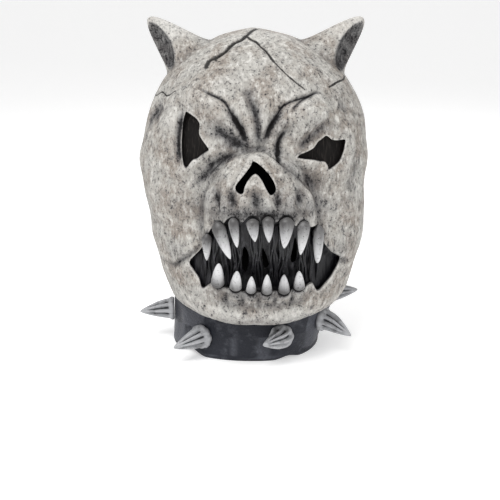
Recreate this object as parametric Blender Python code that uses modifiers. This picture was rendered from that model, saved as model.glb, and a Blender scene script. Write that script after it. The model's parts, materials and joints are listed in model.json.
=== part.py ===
"""Zombie dog mask: a hollow over-the-head latex mask of a bulldog skull, with a spiked collar.

The mask stands on the hem of its collar. Metres, +Z up, the face looks along -Y, and the origin is
under the middle of the whole thing, at the height of the hem. Tables hold shares of the named sizes:
"across" is a share of HALF_WIDTH from the middle plane, to the viewer's right, and "up" is a share of
MASK_HEIGHT above the hem, both seen from the front.
"""

import math

import bmesh
import bpy
import numpy as np
from mathutils import Matrix, Vector
from mathutils.bvhtree import BVHTree

# Driving sizes of the head
MASK_HEIGHT = 0.321
HEAD_WIDTH = 0.230
HEAD_DEPTH = 0.216
SKIN_WALL = 0.003
LIP_WALL = 0.006
EYE_RIM_WALL = 0.005
RELIEF_HEIGHT = 0.010
PLAN_SQUARENESS = 2.25

# Where the upright axis of the head stands, so that the origin is under the middle of the whole mask
HEAD_AXIS = Vector((0.0013, 0.0115, 0.0))

# The loose fit between two pieces, and how far a cutter runs past what it cuts
FIT_GAP = 0.0004
CUT_MARGIN = 0.020

# The muzzle, a dome that stands out of the face
MUZZLE_LENGTH = 0.030
MUZZLE_WIDTH = 0.108
MUZZLE_OFFSET = 0.045
MUZZLE_TOP = 0.676
MUZZLE_MIDDLE = 0.470
MUZZLE_LOW = 0.270

# The ears, two short horns whose outer sides are scooped out
EAR_REACH = 0.052
EAR_HALF_HEIGHT = 0.031
EAR_HALF_DEPTH = 0.027
EAR_THROUGH = 0.050
SCOOP_LENGTH = 0.052
SCOOP_WIDTH = 0.034
SCOOP_DEPTH = 0.026
SCOOP_SIDEWAYS = 0.014
SCOOP_FORWARDS = 0.013
SCOOP_DOWN = 0.010

# The band of the collar, a strap round the neck
COLLAR_HEIGHT = 0.050
COLLAR_WALL = 0.0035
COLLAR_HEM_LIFT = 0.008
COLLAR_GAP = 0.0016

# The spikes on the collar
SPIKE_LENGTH = 0.036
SPIKE_DIAMETER = 0.025
SPIKE_FLUTES = 8
SPIKE_FLUTE_SHARE = 0.03

# The teeth
TOOTH_THICKNESS = 0.72
TOOTH_STAND = 0.0015
TOOTH_BOW = 0.06
TOOTH_RETREAT = 0.25
TOOTH_SIDES = 8

# The dark torn flesh between the jaws, and the gauze behind the eyes
FLESH_WALL = 0.002
FLESH_RECESS = 0.004
FLESH_SLOPE = 2.2
GAUZE_WALL = 0.0015
SHEET_GAP = 0.0008
SHEET_SQUARENESS = 2.4

HALF_WIDTH = HEAD_WIDTH / 2
HALF_DEPTH = HEAD_DEPTH / 2

# Sections of the head from the hem of the neck to the crown. Widths to either side are shares of
# HALF_WIDTH, depths before and behind the axis of HALF_DEPTH, and rows counts the mesh rows above it.
SECTION_COLUMNS = (
    "name", "front_up", "side_up", "back_up", "left", "right", "front", "back", "rows"
)
SECTIONS = (
    ("neck_hem", 0.012, 0.012, 0.012, 0.690, 0.545, 0.667, 0.687, 1),
    ("neck_middle", 0.090, 0.090, 0.090, 0.680, 0.630, 0.662, 0.707, 1),
    ("neck_top", 0.180, 0.178, 0.190, 0.680, 0.715, 0.677, 0.761, 1),
    ("jaw_underside", 0.146, 0.175, 0.215, 0.725, 0.785, 0.854, 0.815, 1),
    ("jaw_edge", 0.162, 0.200, 0.250, 0.765, 0.835, 0.937, 0.878, 1),
    ("chin", 0.200, 0.243, 0.296, 0.810, 0.870, 0.972, 0.932, 2),
    ("jaw", 0.265, 0.300, 0.350, 0.855, 0.915, 0.981, 0.991, 3),
    ("mouth", 0.350, 0.368, 0.411, 0.905, 0.975, 0.972, 1.026, 3),
    ("lip", 0.436, 0.442, 0.483, 0.930, 0.975, 0.952, 1.045, 3),
    ("cheek", 0.523, 0.523, 0.567, 0.975, 0.970, 0.915, 1.055, 3),
    ("socket", 0.607, 0.601, 0.648, 1.005, 1.000, 0.880, 1.045, 3),
    ("eye", 0.679, 0.667, 0.723, 0.965, 0.983, 0.865, 1.016, 3),
    ("brow", 0.754, 0.735, 0.791, 0.913, 0.948, 0.850, 0.961, 2),
    ("forehead", 0.826, 0.804, 0.854, 0.843, 0.878, 0.785, 0.877, 2),
    ("upper_forehead", 0.894, 0.872, 0.910, 0.713, 0.748, 0.660, 0.738, 2),
    ("crown", 0.950, 0.934, 0.952, 0.510, 0.528, 0.465, 0.524, 1),
    ("top", 0.985, 0.974, 0.985, 0.280, 0.290, 0.255, 0.285, 1),
    ("pole", 1.000, 1.000, 1.000, 0.000, 0.000, 0.000, 0.000, 0),
)
SKIN_COLUMNS = 40
COLUMN_CROWDING = 0.52

# Ridges and furrows of the face: a half width as a share of HALF_WIDTH, a rise as a share of
# RELIEF_HEIGHT, and the line that each follows, as (across, up).
FOLDS = (
    ("left_brow", 0.125, 0.90, ((-0.64, 0.79), (-0.47, 0.80), (-0.32, 0.76), (-0.22, 0.70))),
    ("right_brow", 0.125, 0.85, ((0.66, 0.78), (0.48, 0.79), (0.34, 0.74), (0.26, 0.69))),
    ("left_frown_furrow", 0.045, -0.55, ((-0.45, 0.85), (-0.23, 0.81), (-0.09, 0.74), (-0.04, 0.67))),
    ("middle_frown_furrow", 0.040, -0.40, ((-0.02, 0.85), (0.01, 0.78), (0.03, 0.68))),
    ("right_frown_furrow", 0.045, -0.55, ((0.52, 0.83), (0.23, 0.80), (0.10, 0.73), (0.06, 0.68))),
    ("left_lower_lid", 0.060, 0.55, ((-0.66, 0.58), (-0.53, 0.61), (-0.36, 0.65))),
    ("right_lower_lid", 0.080, 0.55, ((0.32, 0.62), (0.50, 0.59), (0.67, 0.57))),
    ("left_eye_rim", 0.055, 0.40, ((-0.66, 0.76), (-0.69, 0.70), (-0.67, 0.61))),
    ("right_eye_rim", 0.055, 0.40, ((0.78, 0.70), (0.82, 0.65), (0.73, 0.60))),
    ("left_lid_furrow", 0.050, -0.50, ((-0.50, 0.54), (-0.30, 0.61), (-0.11, 0.67))),
    ("right_lid_furrow", 0.045, -0.50, ((0.30, 0.74), (0.19, 0.68), (0.34, 0.61), (0.65, 0.53))),
    ("left_cheek", 0.220, 0.45, ((-0.80, 0.54), (-0.76, 0.44))),
    ("right_cheek", 0.220, 0.40, ((0.84, 0.54), (0.82, 0.44))),
    ("left_cheek_fold", 0.045, -0.45, ((-0.76, 0.31), (-0.62, 0.33), (-0.44, 0.40))),
    ("right_cheek_fold", 0.045, -0.40, ((0.60, 0.37), (0.71, 0.34), (0.80, 0.31))),
    ("lower_gum", 0.090, 0.80, ((-0.36, 0.27), (-0.16, 0.26), (0.05, 0.255), (0.26, 0.26), (0.46, 0.27))),
    ("jaw_ridge", 0.130, 0.45, ((-0.60, 0.26), (-0.42, 0.20), (0.05, 0.17), (0.42, 0.18), (0.64, 0.24))),
    ("left_temple", 0.150, -0.35, ((-0.80, 0.76), (-0.84, 0.70))),
    ("right_temple", 0.130, -0.35, ((0.72, 0.79), (0.80, 0.75))),
)

# Outlines of the holes, as (across, up), joined by a smooth closed curve
LEFT_EYE = (
    (-0.552, 0.776), (-0.480, 0.764), (-0.441, 0.730), (-0.418, 0.698), (-0.368, 0.671),
    (-0.431, 0.655), (-0.500, 0.636), (-0.560, 0.616), (-0.594, 0.660), (-0.592, 0.720),
)
RIGHT_EYE = (
    (0.350, 0.649), (0.430, 0.667), (0.505, 0.684), (0.585, 0.706), (0.660, 0.693),
    (0.752, 0.688), (0.742, 0.655), (0.700, 0.628), (0.612, 0.608), (0.575, 0.630), (0.460, 0.641),
)
NOSE = (
    (-0.008, 0.648), (-0.070, 0.620), (-0.140, 0.584), (-0.093, 0.566), (-0.055, 0.592),
    (0.010, 0.616), (0.075, 0.592), (0.120, 0.565), (0.168, 0.577), (0.126, 0.612), (0.050, 0.638),
)
MOUTH = (
    (-0.540, 0.333), (-0.455, 0.372), (-0.370, 0.420), (-0.310, 0.455), (-0.190, 0.480),
    (-0.060, 0.488), (0.060, 0.492), (0.185, 0.484), (0.320, 0.465), (0.445, 0.455),
    (0.545, 0.405), (0.640, 0.360), (0.725, 0.333), (0.660, 0.285), (0.530, 0.243),
    (0.470, 0.272), (0.296, 0.266), (0.120, 0.262), (-0.060, 0.264), (-0.230, 0.275),
    (-0.358, 0.284), (-0.430, 0.258), (-0.490, 0.295),
)
# Sheets behind the holes: the middle and half the size, as (across, up), and how many spokes and rings
SHEET_COLUMNS = ("name", "across", "up", "half_across", "half_up", "spokes", "rings")
SHEETS = (
    ("mouth_flesh", 0.092, 0.368, 0.680, 0.148, 22, 4),
    ("left_eye_gauze", -0.482, 0.696, 0.165, 0.100, 14, 3),
    ("right_eye_gauze", 0.548, 0.657, 0.226, 0.062, 16, 3),
)
FLESH_SLOTS = (
    ("left", ((-0.085, 0.400), (-0.050, 0.380), (-0.048, 0.340), (-0.075, 0.305), (-0.100, 0.340))),
    ("middle", ((0.065, 0.400), (0.095, 0.375), (0.118, 0.335), (0.085, 0.325), (0.066, 0.355))),
    ("right", ((0.330, 0.425), (0.350, 0.395), (0.345, 0.345), (0.300, 0.345), (0.312, 0.390))),
)

# Teeth: the middle of the root and the tip, as (across, up), and the width as a share of HALF_WIDTH
TOOTH_COLUMNS = ("name", "root_across", "root_up", "tip_across", "tip_up", "width")
TEETH = (
    ("upper_tooth_1", -0.385, 0.438, -0.388, 0.352, 0.086),
    ("upper_tooth_2", -0.305, 0.482, -0.193, 0.370, 0.112),
    ("upper_tooth_3", -0.172, 0.500, -0.137, 0.412, 0.084),
    ("upper_tooth_4", -0.020, 0.500, 0.006, 0.433, 0.104),
    ("upper_tooth_5", 0.107, 0.506, 0.116, 0.430, 0.096),
    ("upper_tooth_6", 0.262, 0.500, 0.238, 0.408, 0.120),
    ("upper_tooth_7", 0.402, 0.482, 0.374, 0.378, 0.104),
    ("upper_tooth_8", 0.530, 0.450, 0.523, 0.335, 0.092),
    ("lower_tooth_1", -0.305, 0.268, -0.288, 0.350, 0.116),
    ("lower_tooth_2", -0.157, 0.262, -0.139, 0.328, 0.106),
    ("lower_tooth_3", -0.027, 0.254, -0.022, 0.310, 0.090),
    ("lower_tooth_4", 0.103, 0.250, 0.106, 0.317, 0.094),
    ("lower_tooth_5", 0.246, 0.250, 0.243, 0.314, 0.102),
    ("lower_tooth_6", 0.372, 0.258, 0.368, 0.322, 0.100),
)

# Ears: the middle of the root and the tip, as (across, up), and how far back the root lies as a share
# of HALF_DEPTH
EARS = (
    ("left", -0.585, 0.918, -0.905, 1.030, 0.02),
    ("right", 0.600, 0.915, 0.915, 1.025, 0.02),
)

# Spikes: the angle round the neck from the face, the height as a share of COLLAR_HEIGHT, and the way
# that the tip points, as turns sideways and downwards in degrees
SPIKE_COLUMNS = ("name", "angle", "up", "turn", "droop")
SPIKES = (
    ("spike_1", -36, 0.44, -22, 8),
    ("spike_2", 18, 0.52, -60, -2),
    ("spike_3", 58, 0.66, 4, 26),
    ("spike_4", 108, 0.74, -8, -4),
    ("spike_5", 152, 0.66, 0, 4),
    ("spike_6", 190, 0.62, 0, 4),
    ("spike_7", 226, 0.62, 0, 4),
    ("spike_8", 274, 0.64, 0, 6),
)

# Lifts of the hem off the ground: the angle from the face, the half spread in degrees, and the share
# of COLLAR_HEM_LIFT
HEM_LIFTS = ((-52, 20, 1.00), (28, 14, 0.35), (128, 26, 0.45), (-132, 24, 0.40))

# Colours, roughness and metallic value of each finish
FINISHES = {
    "bone_latex": ((0.58, 0.55, 0.50), 0.62, 0.0),
    "tooth_enamel": ((0.74, 0.73, 0.71), 0.38, 0.0),
    "torn_flesh": ((0.035, 0.035, 0.042), 0.34, 0.0),
    "eye_gauze": ((0.022, 0.020, 0.020), 0.85, 0.0),
    "collar_latex": ((0.060, 0.065, 0.080), 0.50, 0.0),
    "spike_latex": ((0.46, 0.46, 0.48), 0.42, 0.0),
}


def catmull_rom(rows, position):
    """Values at a position counted in rows, on one smooth curve through the rows."""
    rows = np.asarray(rows, float)
    last = len(rows) - 1
    first = np.clip(np.floor(position).astype(int), 0, last - 1)
    t = (position - first)[..., None]
    here, there = rows[first], rows[first + 1]
    slope_in = (there - rows[np.clip(first - 1, 0, last)]) / 2
    slope_out = (rows[np.clip(first + 2, 0, last)] - here) / 2
    return (
        (2 * t**3 - 3 * t**2 + 1) * here
        + (t**3 - 2 * t**2 + t) * slope_in
        + (3 * t**2 - 2 * t**3) * there
        + (t**3 - t**2) * slope_out
    )


def signed_power(value, power):
    return np.sign(value) * np.abs(value) ** power


def smooth_step(value):
    value = np.clip(value, 0, 1)
    return value * value * (3 - 2 * value)


def head_form(angle, position):
    """Points of the plain head. The angle is 0 at the face and grows to the viewer's right."""
    values = catmull_rom([row[1:-1] for row in SECTIONS], position)
    front_up, side_up, back_up, left, right, front, back = np.moveaxis(values, -1, 0)
    sine, cosine = np.sin(angle), np.cos(angle)
    width = np.where(sine < 0, left, right) * HALF_WIDTH
    depth = np.where(cosine > 0, front, back) * HALF_DEPTH
    end_up = np.where(cosine > 0, front_up, back_up)
    up = side_up + (end_up - side_up) * cosine**2
    power = 2 / PLAN_SQUARENESS
    x = width * signed_power(sine, power)
    y = -depth * signed_power(cosine, power)
    return np.stack([x, y, up * MASK_HEIGHT], axis=-1)


def muzzle_rise(x, z):
    """How far the muzzle's dome stands out at a place seen from the front."""
    across = (x / HALF_WIDTH - MUZZLE_OFFSET) * HEAD_WIDTH / MUZZLE_WIDTH
    up = z / MASK_HEIGHT
    above = np.clip((up - MUZZLE_MIDDLE) / (MUZZLE_TOP - MUZZLE_MIDDLE), 0, None)
    below = np.clip((MUZZLE_MIDDLE - up) / (MUZZLE_MIDDLE - MUZZLE_LOW), 0, 1)
    inside = np.clip(1 - across**2 - above**2, 0, None)
    return MUZZLE_LENGTH * inside**0.5 * (1 - below**2) ** 2


def way_along(path, x, z):
    """The distance from each place to a path, and how far along the path its nearest point lies."""
    corners = np.array(path) * (HALF_WIDTH, MASK_HEIGHT)
    line = catmull_rom(corners, np.linspace(0, len(corners) - 1, 5 * len(corners)))
    best = np.full(x.shape, np.inf)
    along = np.zeros(x.shape)
    for index, (start, end) in enumerate(zip(line[:-1], line[1:])):
        step = end - start
        share = ((x - start[0]) * step[0] + (z - start[1]) * step[1]) / (step @ step)
        share = np.clip(share, 0, 1)
        distance = np.hypot(x - start[0] - share * step[0], z - start[1] - share * step[1])
        nearer = distance < best
        best = np.where(nearer, distance, best)
        along = np.where(nearer, (index + share) / (len(line) - 1), along)
    return best, along


def folds_rise(x, z):
    """The height of the ridges, less the depth of the furrows, at a place seen from the front."""
    rise = np.zeros(x.shape)
    for _, half_width, height, path in FOLDS:
        distance, along = way_along(path, x, z)
        fading = 0.35 + 0.65 * np.sin(math.pi * along)
        rise += height * fading * np.exp(-((distance / (half_width * HALF_WIDTH)) ** 2))
    return rise * RELIEF_HEIGHT


def ear_pull(point, root_across, root_up, tip_across, tip_up, root_back):
    """How far each point of the head is drawn out to make one ear."""
    root = np.array([root_across * HALF_WIDTH, root_back * HALF_DEPTH, root_up * MASK_HEIGHT])
    tip = np.array([tip_across * HALF_WIDTH, root[1], tip_up * MASK_HEIGHT])
    way = (tip - root) / np.linalg.norm(tip - root)
    over = np.array([-way[2], 0, way[0]])
    offset = point - root
    high = offset @ over / EAR_HALF_HEIGHT
    deep = offset[..., 1] / EAR_HALF_DEPTH
    through = offset @ way / EAR_THROUGH
    reach = np.clip(np.sqrt(high**2 + deep**2 + through**2), 0, 1)
    return ((1 - reach) ** 2 * (1 + 1.1 * reach))[..., None] * way * EAR_REACH


def skin_point(angle, position, with_ears=True):
    """Points of the mask's skin."""
    point = head_form(angle, position)
    x, z = point[..., 0].copy(), point[..., 2].copy()
    facing = smooth_step(np.cos(angle) * 3 + 0.2)
    outwards = np.stack([x / HALF_WIDTH**2, point[..., 1] / HALF_DEPTH**2], axis=-1)
    outwards /= np.maximum(np.linalg.norm(outwards, axis=-1, keepdims=True), 1e-9)
    on_head = smooth_step(position - 2)
    point[..., :2] += outwards * (folds_rise(x, z) * facing * on_head)[..., None]
    point[..., 1] -= muzzle_rise(x, z) * facing
    if with_ears:
        point = point + sum(ear_pull(point, *ear[1:]) for ear in EARS)
    return point + np.array(HEAD_AXIS)


def column_angle(turn):
    """The angle of a mesh column, from its turns round the head. Columns crowd together at the face."""
    return 2 * math.pi * turn - COLUMN_CROWDING * np.sin(2 * math.pi * turn)


def row_positions():
    """Where the rows of the mesh lie, counted in sections."""
    places = [0.0]
    for index, section in enumerate(SECTIONS[:-1]):
        steps = section[-1]
        places += [index + (step + 1) / steps for step in range(steps)]
    return np.array(places)


def finish_material(name):
    colour, roughness, metallic = FINISHES[name]
    material = bpy.data.materials.get(name) or bpy.data.materials.new(name)
    material.use_nodes = True
    shader = material.node_tree.nodes["Principled BSDF"]
    shader.inputs["Base Color"].default_value = (*colour, 1)
    shader.inputs["Roughness"].default_value = roughness
    shader.inputs["Metallic"].default_value = metallic
    material.diffuse_color = (*colour, 1)
    return material


def new_object(name, mesh, collection, finish=None):
    """Ends a bmesh as an object of a collection, its faces flat triangles that look outwards."""
    bmesh.ops.triangulate(mesh, faces=mesh.faces)
    bmesh.ops.recalc_face_normals(mesh, faces=mesh.faces)
    if mesh.calc_volume(signed=True) < 0:
        bmesh.ops.reverse_faces(mesh, faces=mesh.faces)
    data = bpy.data.meshes.new(name)
    mesh.to_mesh(data)
    mesh.free()
    made = bpy.data.objects.new(name, data)
    collection.objects.link(made)
    if finish:
        data.materials.append(finish_material(finish))
        data.shade_smooth()
    else:
        made.hide_render = True
        made.display_type = "WIRE"
    return made


def cut(target, cutter, name, operation="DIFFERENCE"):
    boolean = target.modifiers.new(name, "BOOLEAN")
    boolean.operation = operation
    boolean.object = cutter
    boolean.solver = "EXACT"


def skin_grid(with_ears):
    """A flat grid rolled round the head, with its seam welded at the back and its top at the crown."""
    places = row_positions()
    mesh = bmesh.new()
    bmesh.ops.create_grid(mesh, x_segments=SKIN_COLUMNS, y_segments=len(places) - 1, size=1)
    flat = np.array([vert.co[:] for vert in mesh.verts])
    angle = column_angle(flat[:, 0] / 2)
    row = np.rint((flat[:, 1] + 1) / 2 * (len(places) - 1)).astype(int)
    for vert, place in zip(mesh.verts, skin_point(angle, places[row], with_ears)):
        vert.co = place
    bmesh.ops.remove_doubles(mesh, verts=mesh.verts, dist=0.00005)
    bmesh.ops.recalc_face_normals(mesh, faces=mesh.faces)
    return mesh


def wall_at(point):
    """The thickness of the wall, which is greater round the mouth and the eyes."""
    across = (point.x - HEAD_AXIS.x) / HALF_WIDTH
    up = point.z / MASK_HEIGHT
    if point.y > HEAD_AXIS.y:
        return SKIN_WALL
    wall = SKIN_WALL
    for outline, rim_wall, spread in (
        (MOUTH, LIP_WALL, 1.35), (LEFT_EYE, EYE_RIM_WALL, 1.7), (RIGHT_EYE, EYE_RIM_WALL, 1.7)
    ):
        low, high = np.min(outline, axis=0), np.max(outline, axis=0)
        middle, half = (low + high) / 2, (high - low) / 2 * spread
        reach = math.hypot((across - middle[0]) / half[0], (up - middle[1]) / half[1])
        wall = max(wall, SKIN_WALL + (rim_wall - SKIN_WALL) * float(smooth_step(2.6 - 2.2 * reach)))
    return wall


def hollow_skin(gap=0.0):
    """The inside of the mask: the plain skin without its ears, taken in by the wall and a gap."""
    inner = skin_grid(with_ears=False)
    inner.normal_update()
    moves = [(vert, vert.normal * (wall_at(vert.co) + gap)) for vert in inner.verts]
    for vert, move in moves:
        vert.co -= move
    return inner


def joined_skin(outer, inner):
    """One closed wall of the outer skin, the hollow's skin turned round, and a rim at the neck."""
    lining = bpy.data.meshes.new("lining")
    bmesh.ops.reverse_faces(inner, faces=inner.faces)
    inner.to_mesh(lining)
    outer.from_mesh(lining)
    bpy.data.meshes.remove(lining)
    rims = [edge for edge in outer.edges if edge.is_boundary]
    bmesh.ops.bridge_loops(outer, edges=rims)
    return outer


def smooth_outline(points, steps=2):
    """A closed smooth curve through (across, up) points, in metres from the middle of the hem."""
    rows = np.array(points) * (HALF_WIDTH, MASK_HEIGHT) + (HEAD_AXIS.x, 0)
    count = len(rows)
    wrapped = np.concatenate([rows[-1:], rows, rows[:2]])
    return catmull_rom(wrapped, 1 + np.arange(count * steps) / steps)


def prism(name, outline, front, back, collection):
    """A flat curve of an outline seen from the front, made a solid from one depth to another."""
    curve = bpy.data.curves.new(name, "CURVE")
    curve.dimensions = "2D"
    curve.fill_mode = "BOTH"
    curve.extrude = (back - front) / 2
    spline = curve.splines.new("POLY")
    spline.points.add(len(outline) - 1)
    for point, (x, z) in zip(spline.points, outline):
        point.co = (x, z, 0, 1)
    spline.use_cyclic_u = True
    sketch = bpy.data.objects.new(name + "_sketch", curve)
    collection.objects.link(sketch)
    sketch.matrix_world = Matrix.Translation((0, (front + back) / 2, 0)) @ Matrix.Rotation(
        math.pi / 2, 4, "X"
    )
    graph = bpy.context.evaluated_depsgraph_get()
    mesh = bmesh.new()
    data = bpy.data.meshes.new_from_object(sketch.evaluated_get(graph))
    mesh.from_mesh(data)
    mesh.transform(sketch.matrix_world)
    bmesh.ops.remove_doubles(mesh, verts=mesh.verts, dist=0.00001)
    bpy.data.objects.remove(sketch)
    bpy.data.meshes.remove(data)
    return new_object(name, mesh, collection)


def front_depth(tree, x, z):
    """The depth of the first face that a ray from the front meets."""
    found = tree.ray_cast(Vector((x, -1, z)), Vector((0, 1, 0)))[0]
    return found.y


def backing_sheet(row, tree, wall, recess, finish, collection, room):
    """A sheet behind a hole, a rounded disc whose rim is trimmed to lie on the inside of the wall."""
    name, across, up, half_across, half_up, spokes, rings = row
    mesh = bmesh.new()
    bmesh.ops.create_grid(mesh, x_segments=spokes, y_segments=rings, size=1)
    power = 2 / SHEET_SQUARENESS
    for vert in mesh.verts:
        angle = math.pi * vert.co.x
        share = (vert.co.y + 1) / 2
        x = (across + half_across * share * signed_power(math.cos(angle), power)) * HALF_WIDTH + HEAD_AXIS.x
        z = (up + half_up * share * signed_power(math.sin(angle), power)) * MASK_HEIGHT
        sunk = recess * float(smooth_step(FLESH_SLOPE * (1 - share)))
        vert.co = (x, front_depth(tree, x, z) + SHEET_GAP + sunk, z)
    bmesh.ops.remove_doubles(mesh, verts=mesh.verts, dist=0.00005)
    sheet = new_object(name, mesh, collection, finish)
    front_face = sum((face.normal * face.area for face in sheet.data.polygons), Vector())
    solidify = sheet.modifiers.new("wall", "SOLIDIFY")
    solidify.thickness = wall
    solidify.offset = -1 if front_face.y < 0 else 1
    cut(sheet, room, "trim", "INTERSECT")
    return sheet


def tapered_form(spine, radii, sides, across_share=1.0, ripple=0.0, ripples=0):
    """A pointed form round a spine of points, closed at both ends, from a UV sphere."""
    rings = len(spine)
    mesh = bmesh.new()
    bmesh.ops.create_uvsphere(mesh, u_segments=sides, v_segments=rings - 1, radius=1)
    spine = np.asarray(spine, float)
    heading = np.gradient(spine, axis=0)
    heading /= np.linalg.norm(heading, axis=1, keepdims=True)
    upright = abs(spine[-1][2] - spine[0][2]) > 0.8 * np.linalg.norm(spine[-1] - spine[0])
    square = Vector((0, 1, 0)) if upright else Vector((0, 0, 1))
    for vert in mesh.verts:
        ring = round((1 - math.acos(max(-1, min(1, vert.co.z))) / math.pi) * (rings - 1))
        ahead = Vector(heading[ring])
        side = ahead.cross(square).normalized()
        other = side.cross(ahead)
        around = math.atan2(vert.co.y, vert.co.x)
        radius = radii[ring] * (1 + ripple * math.cos(ripples * around))
        at_end = ring in (0, rings - 1)
        reach = Vector() if at_end else side * math.cos(around) * radius
        rise = Vector() if at_end else other * math.sin(around) * radius * across_share
        vert.co = Vector(spine[ring]) + reach + rise
    return mesh


def tooth_form(row, tree, grown=0.0):
    """A tooth from the middle of its root to its tip, a little bowed to the front."""
    _, root_across, root_up, tip_across, tip_up, width = row
    ends = []
    for across, up in ((root_across, root_up), (tip_across, tip_up)):
        x, z = across * HALF_WIDTH + HEAD_AXIS.x, up * MASK_HEIGHT
        ends.append(np.array([x, front_depth(tree, x, z) - TOOTH_STAND, z]))
    root, tip = ends
    tip[1] = min(tip[1], root[1] + TOOTH_RETREAT * abs(root[2] - tip[2]))
    length = np.linalg.norm(tip - root)
    shares = np.array([0.0, 0.06, 0.25, 0.5, 0.75, 0.93, 1.0])
    profile = np.array([0.0, 0.62, 0.98, 0.92, 0.66, 0.28, 0.0])
    reach = grown / length
    spine = [root + (tip - root) * (s + (2 * s - 1) * reach) for s in shares]
    bow = TOOTH_BOW * length * np.sin(math.pi * shares)
    spine = [place - np.array([0, sag, 0]) for place, sag in zip(spine, bow)]
    radii = profile * width * HALF_WIDTH / 2 + grown * (profile > 0)
    return tapered_form(spine, radii, TOOTH_SIDES, TOOTH_THICKNESS)


def neck_point(angle, z, out):
    """A point beside the neck at a height, moved out from its skin."""
    neck = [section for section in SECTIONS if section[0].startswith("neck")]
    heights = [section[2] * MASK_HEIGHT for section in neck]
    position = np.interp(z, heights, range(len(neck)))
    step = 0.01
    before, here, after = (
        head_form(np.array(angle + turn), np.array(position)) for turn in (-step, 0.0, step)
    )
    along = (after - before)[:2]
    outwards = np.array([-along[1], along[0]]) / np.linalg.norm(along)
    if outwards @ here[:2] < 0:
        outwards = -outwards
    return Vector((*(here[:2] + outwards * out), z)) + HEAD_AXIS


def hem_height(angle):
    """How far the hem is off the ground, in gentle waves with flats between them."""
    lift = 0.0
    for centre, spread, share in HEM_LIFTS:
        away = (math.degrees(angle) - centre + 180) % 360 - 180
        lift += share * float(smooth_step(1 - abs(away) / spread))
    return lift * COLLAR_HEM_LIFT


def collar_form(name, inner, outer, collection, finish=None):
    """A band round the neck: a grid rolled round its four sides."""
    mesh = bmesh.new()
    bmesh.ops.create_grid(mesh, x_segments=SKIN_COLUMNS, y_segments=6, size=1)
    corners = ((outer, 0), (outer, 0.5), (outer, 1), (inner, 1), (inner, 0.5), (inner, 0))
    for vert in mesh.verts:
        angle = float(column_angle(vert.co.x / 2))
        out, share = corners[round((vert.co.y + 1) / 2 * 6) % 6]
        hem = hem_height(angle)
        vert.co = neck_point(angle, hem + (COLLAR_HEIGHT - hem) * share, out)
    bmesh.ops.remove_doubles(mesh, verts=mesh.verts, dist=0.00002)
    return new_object(name, mesh, collection, finish)


def spike_form(row):
    """A fluted spike whose foot stands a little inside the band, to be cut to fit it."""
    _, angle, up, turn, droop = row
    angle = math.radians(angle)
    height = up * COLLAR_HEIGHT
    inside = neck_point(angle, height, COLLAR_GAP)
    seat = neck_point(angle, height, COLLAR_GAP + COLLAR_WALL)
    square = (seat - inside).normalized()
    leaning = Matrix.Rotation(math.radians(turn), 3, "Z") @ square
    sideways = leaning.cross(Vector((0, 0, 1))).normalized()
    leaning = Matrix.Rotation(math.radians(-droop), 3, sideways) @ leaning
    shares = np.array([0.0, 0.001, 0.10, 0.28, 0.5, 0.72, 0.9, 1.0])
    profile = np.array([0.0, 1.0, 1.0, 0.86, 0.65, 0.42, 0.18, 0.0])
    spine = []
    for share in shares:
        heading = square.lerp(leaning, min(1, 2.2 * share)).normalized()
        start = spine[-1] if spine else np.array(inside)
        step = (share - (shares[len(spine) - 1] if spine else 0)) * (SPIKE_LENGTH + COLLAR_WALL)
        spine.append(start + np.array(heading) * step)
    radii = profile * SPIKE_DIAMETER / 2
    return tapered_form(spine, radii, 2 * SPIKE_FLUTES, 1.0, SPIKE_FLUTE_SHARE, SPIKE_FLUTES)


def scoop_cutter(ear, collection):
    """A long ball that takes the hollow out of the outer front side of an ear."""
    name, root_across, root_up, tip_across, tip_up, root_back = ear
    side = -1 if tip_across < 0 else 1
    root = Vector((root_across * HALF_WIDTH, root_back * HALF_DEPTH, root_up * MASK_HEIGHT))
    tip = Vector((tip_across * HALF_WIDTH, root.y, tip_up * MASK_HEIGHT))
    way = (tip - root).normalized()
    aside = Vector((side * SCOOP_SIDEWAYS, -SCOOP_FORWARDS, -SCOOP_DOWN))
    middle = root + way * EAR_REACH / 2 + aside + HEAD_AXIS
    lengthways = Vector((side * 0.42, 0, 0.9)).normalized()
    facing = Vector((side * 0.78, -0.55, 0)).normalized()
    broad = lengthways.cross(facing).normalized()
    turn = Matrix((lengthways, broad, facing)).transposed().to_4x4()
    mesh = bmesh.new()
    bmesh.ops.create_uvsphere(mesh, u_segments=14, v_segments=10, radius=0.5)
    size = Matrix.Diagonal((SCOOP_LENGTH, SCOOP_WIDTH, SCOOP_DEPTH, 1))
    bmesh.ops.transform(mesh, matrix=Matrix.Translation(middle) @ turn @ size, verts=mesh.verts)
    return new_object(name + "_ear_scoop", mesh, collection)


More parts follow.
